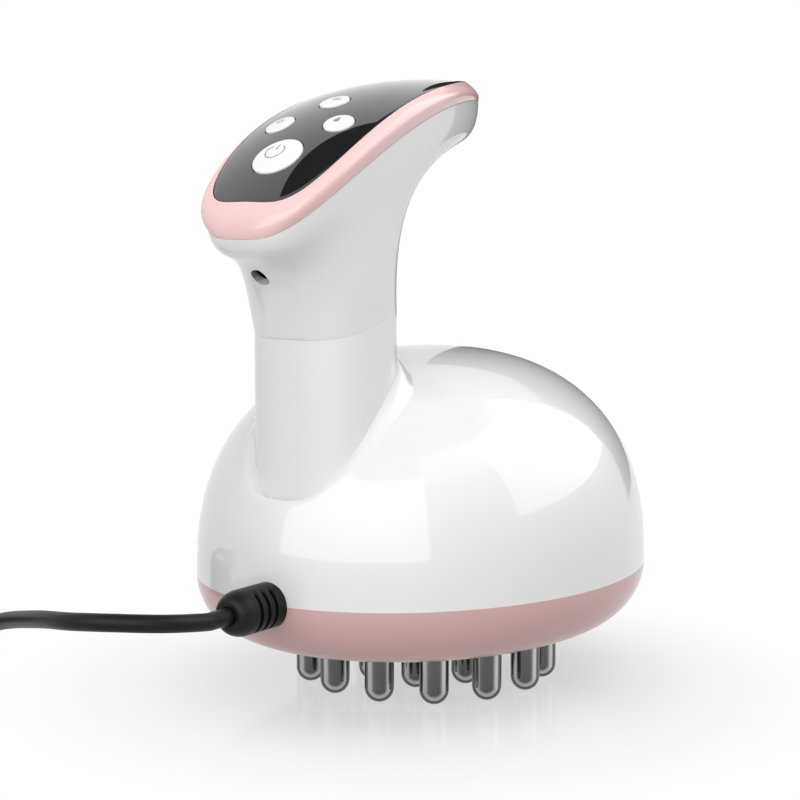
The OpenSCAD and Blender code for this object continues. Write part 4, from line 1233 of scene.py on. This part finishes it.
def curved_panel(name, azimuths, elevations, material):
    """A panel on a sphere round the object that the camera doesn't see."""
    columns, rows = 16, 10

    def build(shape):
        grid = []
        for j in range(rows + 1):
            e = math.radians(elevations[0] + (elevations[1] - elevations[0]) * j / rows)
            row = []
            for i in range(columns + 1):
                a = math.radians(azimuths[0] + (azimuths[1] - azimuths[0]) * i / columns)
                out = Vector((math.cos(e) * math.cos(a), math.cos(e) * math.sin(a), math.sin(e)))
                row.append(shape.verts.new(OBJECT_MIDDLE + out * PANEL_AWAY))
            grid.append(row)
        for low, high in zip(grid, grid[1:]):
            for i in range(columns):
                shape.faces.new((low[i], low[i + 1], high[i + 1], high[i]))
    panel = bpy.data.objects.new(name, mesh_from(build, Vector))
    bpy.context.scene.collection.objects.link(panel)
    panel.data.materials.append(material)
    panel.visible_camera = False
    return panel


def make_softbox(name, azimuths, elevations, glow, shine):
    """A light that is glow strong where it lights and shine strong where gloss shows it."""
    material = bpy.data.materials.new(name)
    material.use_nodes = True
    tree = material.node_tree
    tree.nodes.clear()
    light = tree.nodes.new("ShaderNodeEmission")
    path = tree.nodes.new("ShaderNodeLightPath")
    strength = tree.nodes.new("ShaderNodeMapRange")
    strength.inputs["To Min"].default_value = glow
    strength.inputs["To Max"].default_value = shine
    output = tree.nodes.new("ShaderNodeOutputMaterial")
    tree.links.new(path.outputs["Is Glossy Ray"], strength.inputs["Value"])
    tree.links.new(strength.outputs["Result"], light.inputs["Strength"])
    tree.links.new(light.outputs[0], output.inputs["Surface"])
    curved_panel(name, azimuths, elevations, material)


def make_flag(name, azimuths, elevations):
    """A dark card, which only shows in glossy surfaces."""
    material, tree, shader = new_material(name + "_black")
    colour_from(tree, shader, add_noise(tree, CARD_CLOUDS), *((grey,) * 3 for grey in CARD_GREYS))
    shader.inputs["Roughness"].default_value = 1.0
    card = curved_panel(name, azimuths, elevations, material)
    card.visible_diffuse = False
    card.visible_transmission = False
    card.visible_shadow = False


def make_world():
    """White where the camera, gloss or a clear surface looks at it, and a weak light for the rest."""
    world = bpy.data.worlds.new("studio")
    bpy.context.scene.world = world
    world.use_nodes = True
    tree = world.node_tree
    tree.nodes.clear()
    path = tree.nodes.new("ShaderNodeLightPath")
    seen = add_math(tree, "MAXIMUM", path.outputs["Is Camera Ray"], path.outputs["Is Glossy Ray"])
    seen = add_math(tree, "MAXIMUM", seen, path.outputs["Is Transmission Ray"])
    backgrounds = []
    for strength in (AMBIENT, 1.0):
        background = tree.nodes.new("ShaderNodeBackground")
        background.inputs["Color"].default_value = (1, 1, 1, 1)
        background.inputs["Strength"].default_value = strength
        backgrounds.append(background.outputs[0])
    output = tree.nodes.new("ShaderNodeOutputWorld")
    tree.links.new(mix_shaders(tree, seen, *backgrounds), output.inputs["Surface"])


# All pieces, the lead's cord and the stage
make_camera()
cord, cord_length = make_cord(MATERIALS["cord_black"])
make_piece("body_skin", body_shell(), "shell_white", "case", ["body_shell"])
make_piece("base_skin", base_cover(), "base_pink", "case", ["base_cover"])
make_neck()
make_piece("band_skin", head_band(), "band_pink", "case", ["head_band"])
make_panel()
for button in BUTTONS:
    make_button(button)
    make_mark(button)
for circle in ("outer", "inner"):
    make_pins(circle)
make_relief()
plug = make_plug()
prongs = make_plug_pins()
tie = make_tie()
paint_cad_nodes()
make_floor()
make_world()
for name, west, east, low, high, glow, shine in SOFTBOXES:
    make_softbox(name, (west, east), (low, high), glow, shine)
for name, west, east, low, high in FLAGS:
    make_flag(name, (west, east), (low, high))
bpy.context.scene.view_settings.view_transform = "Standard"
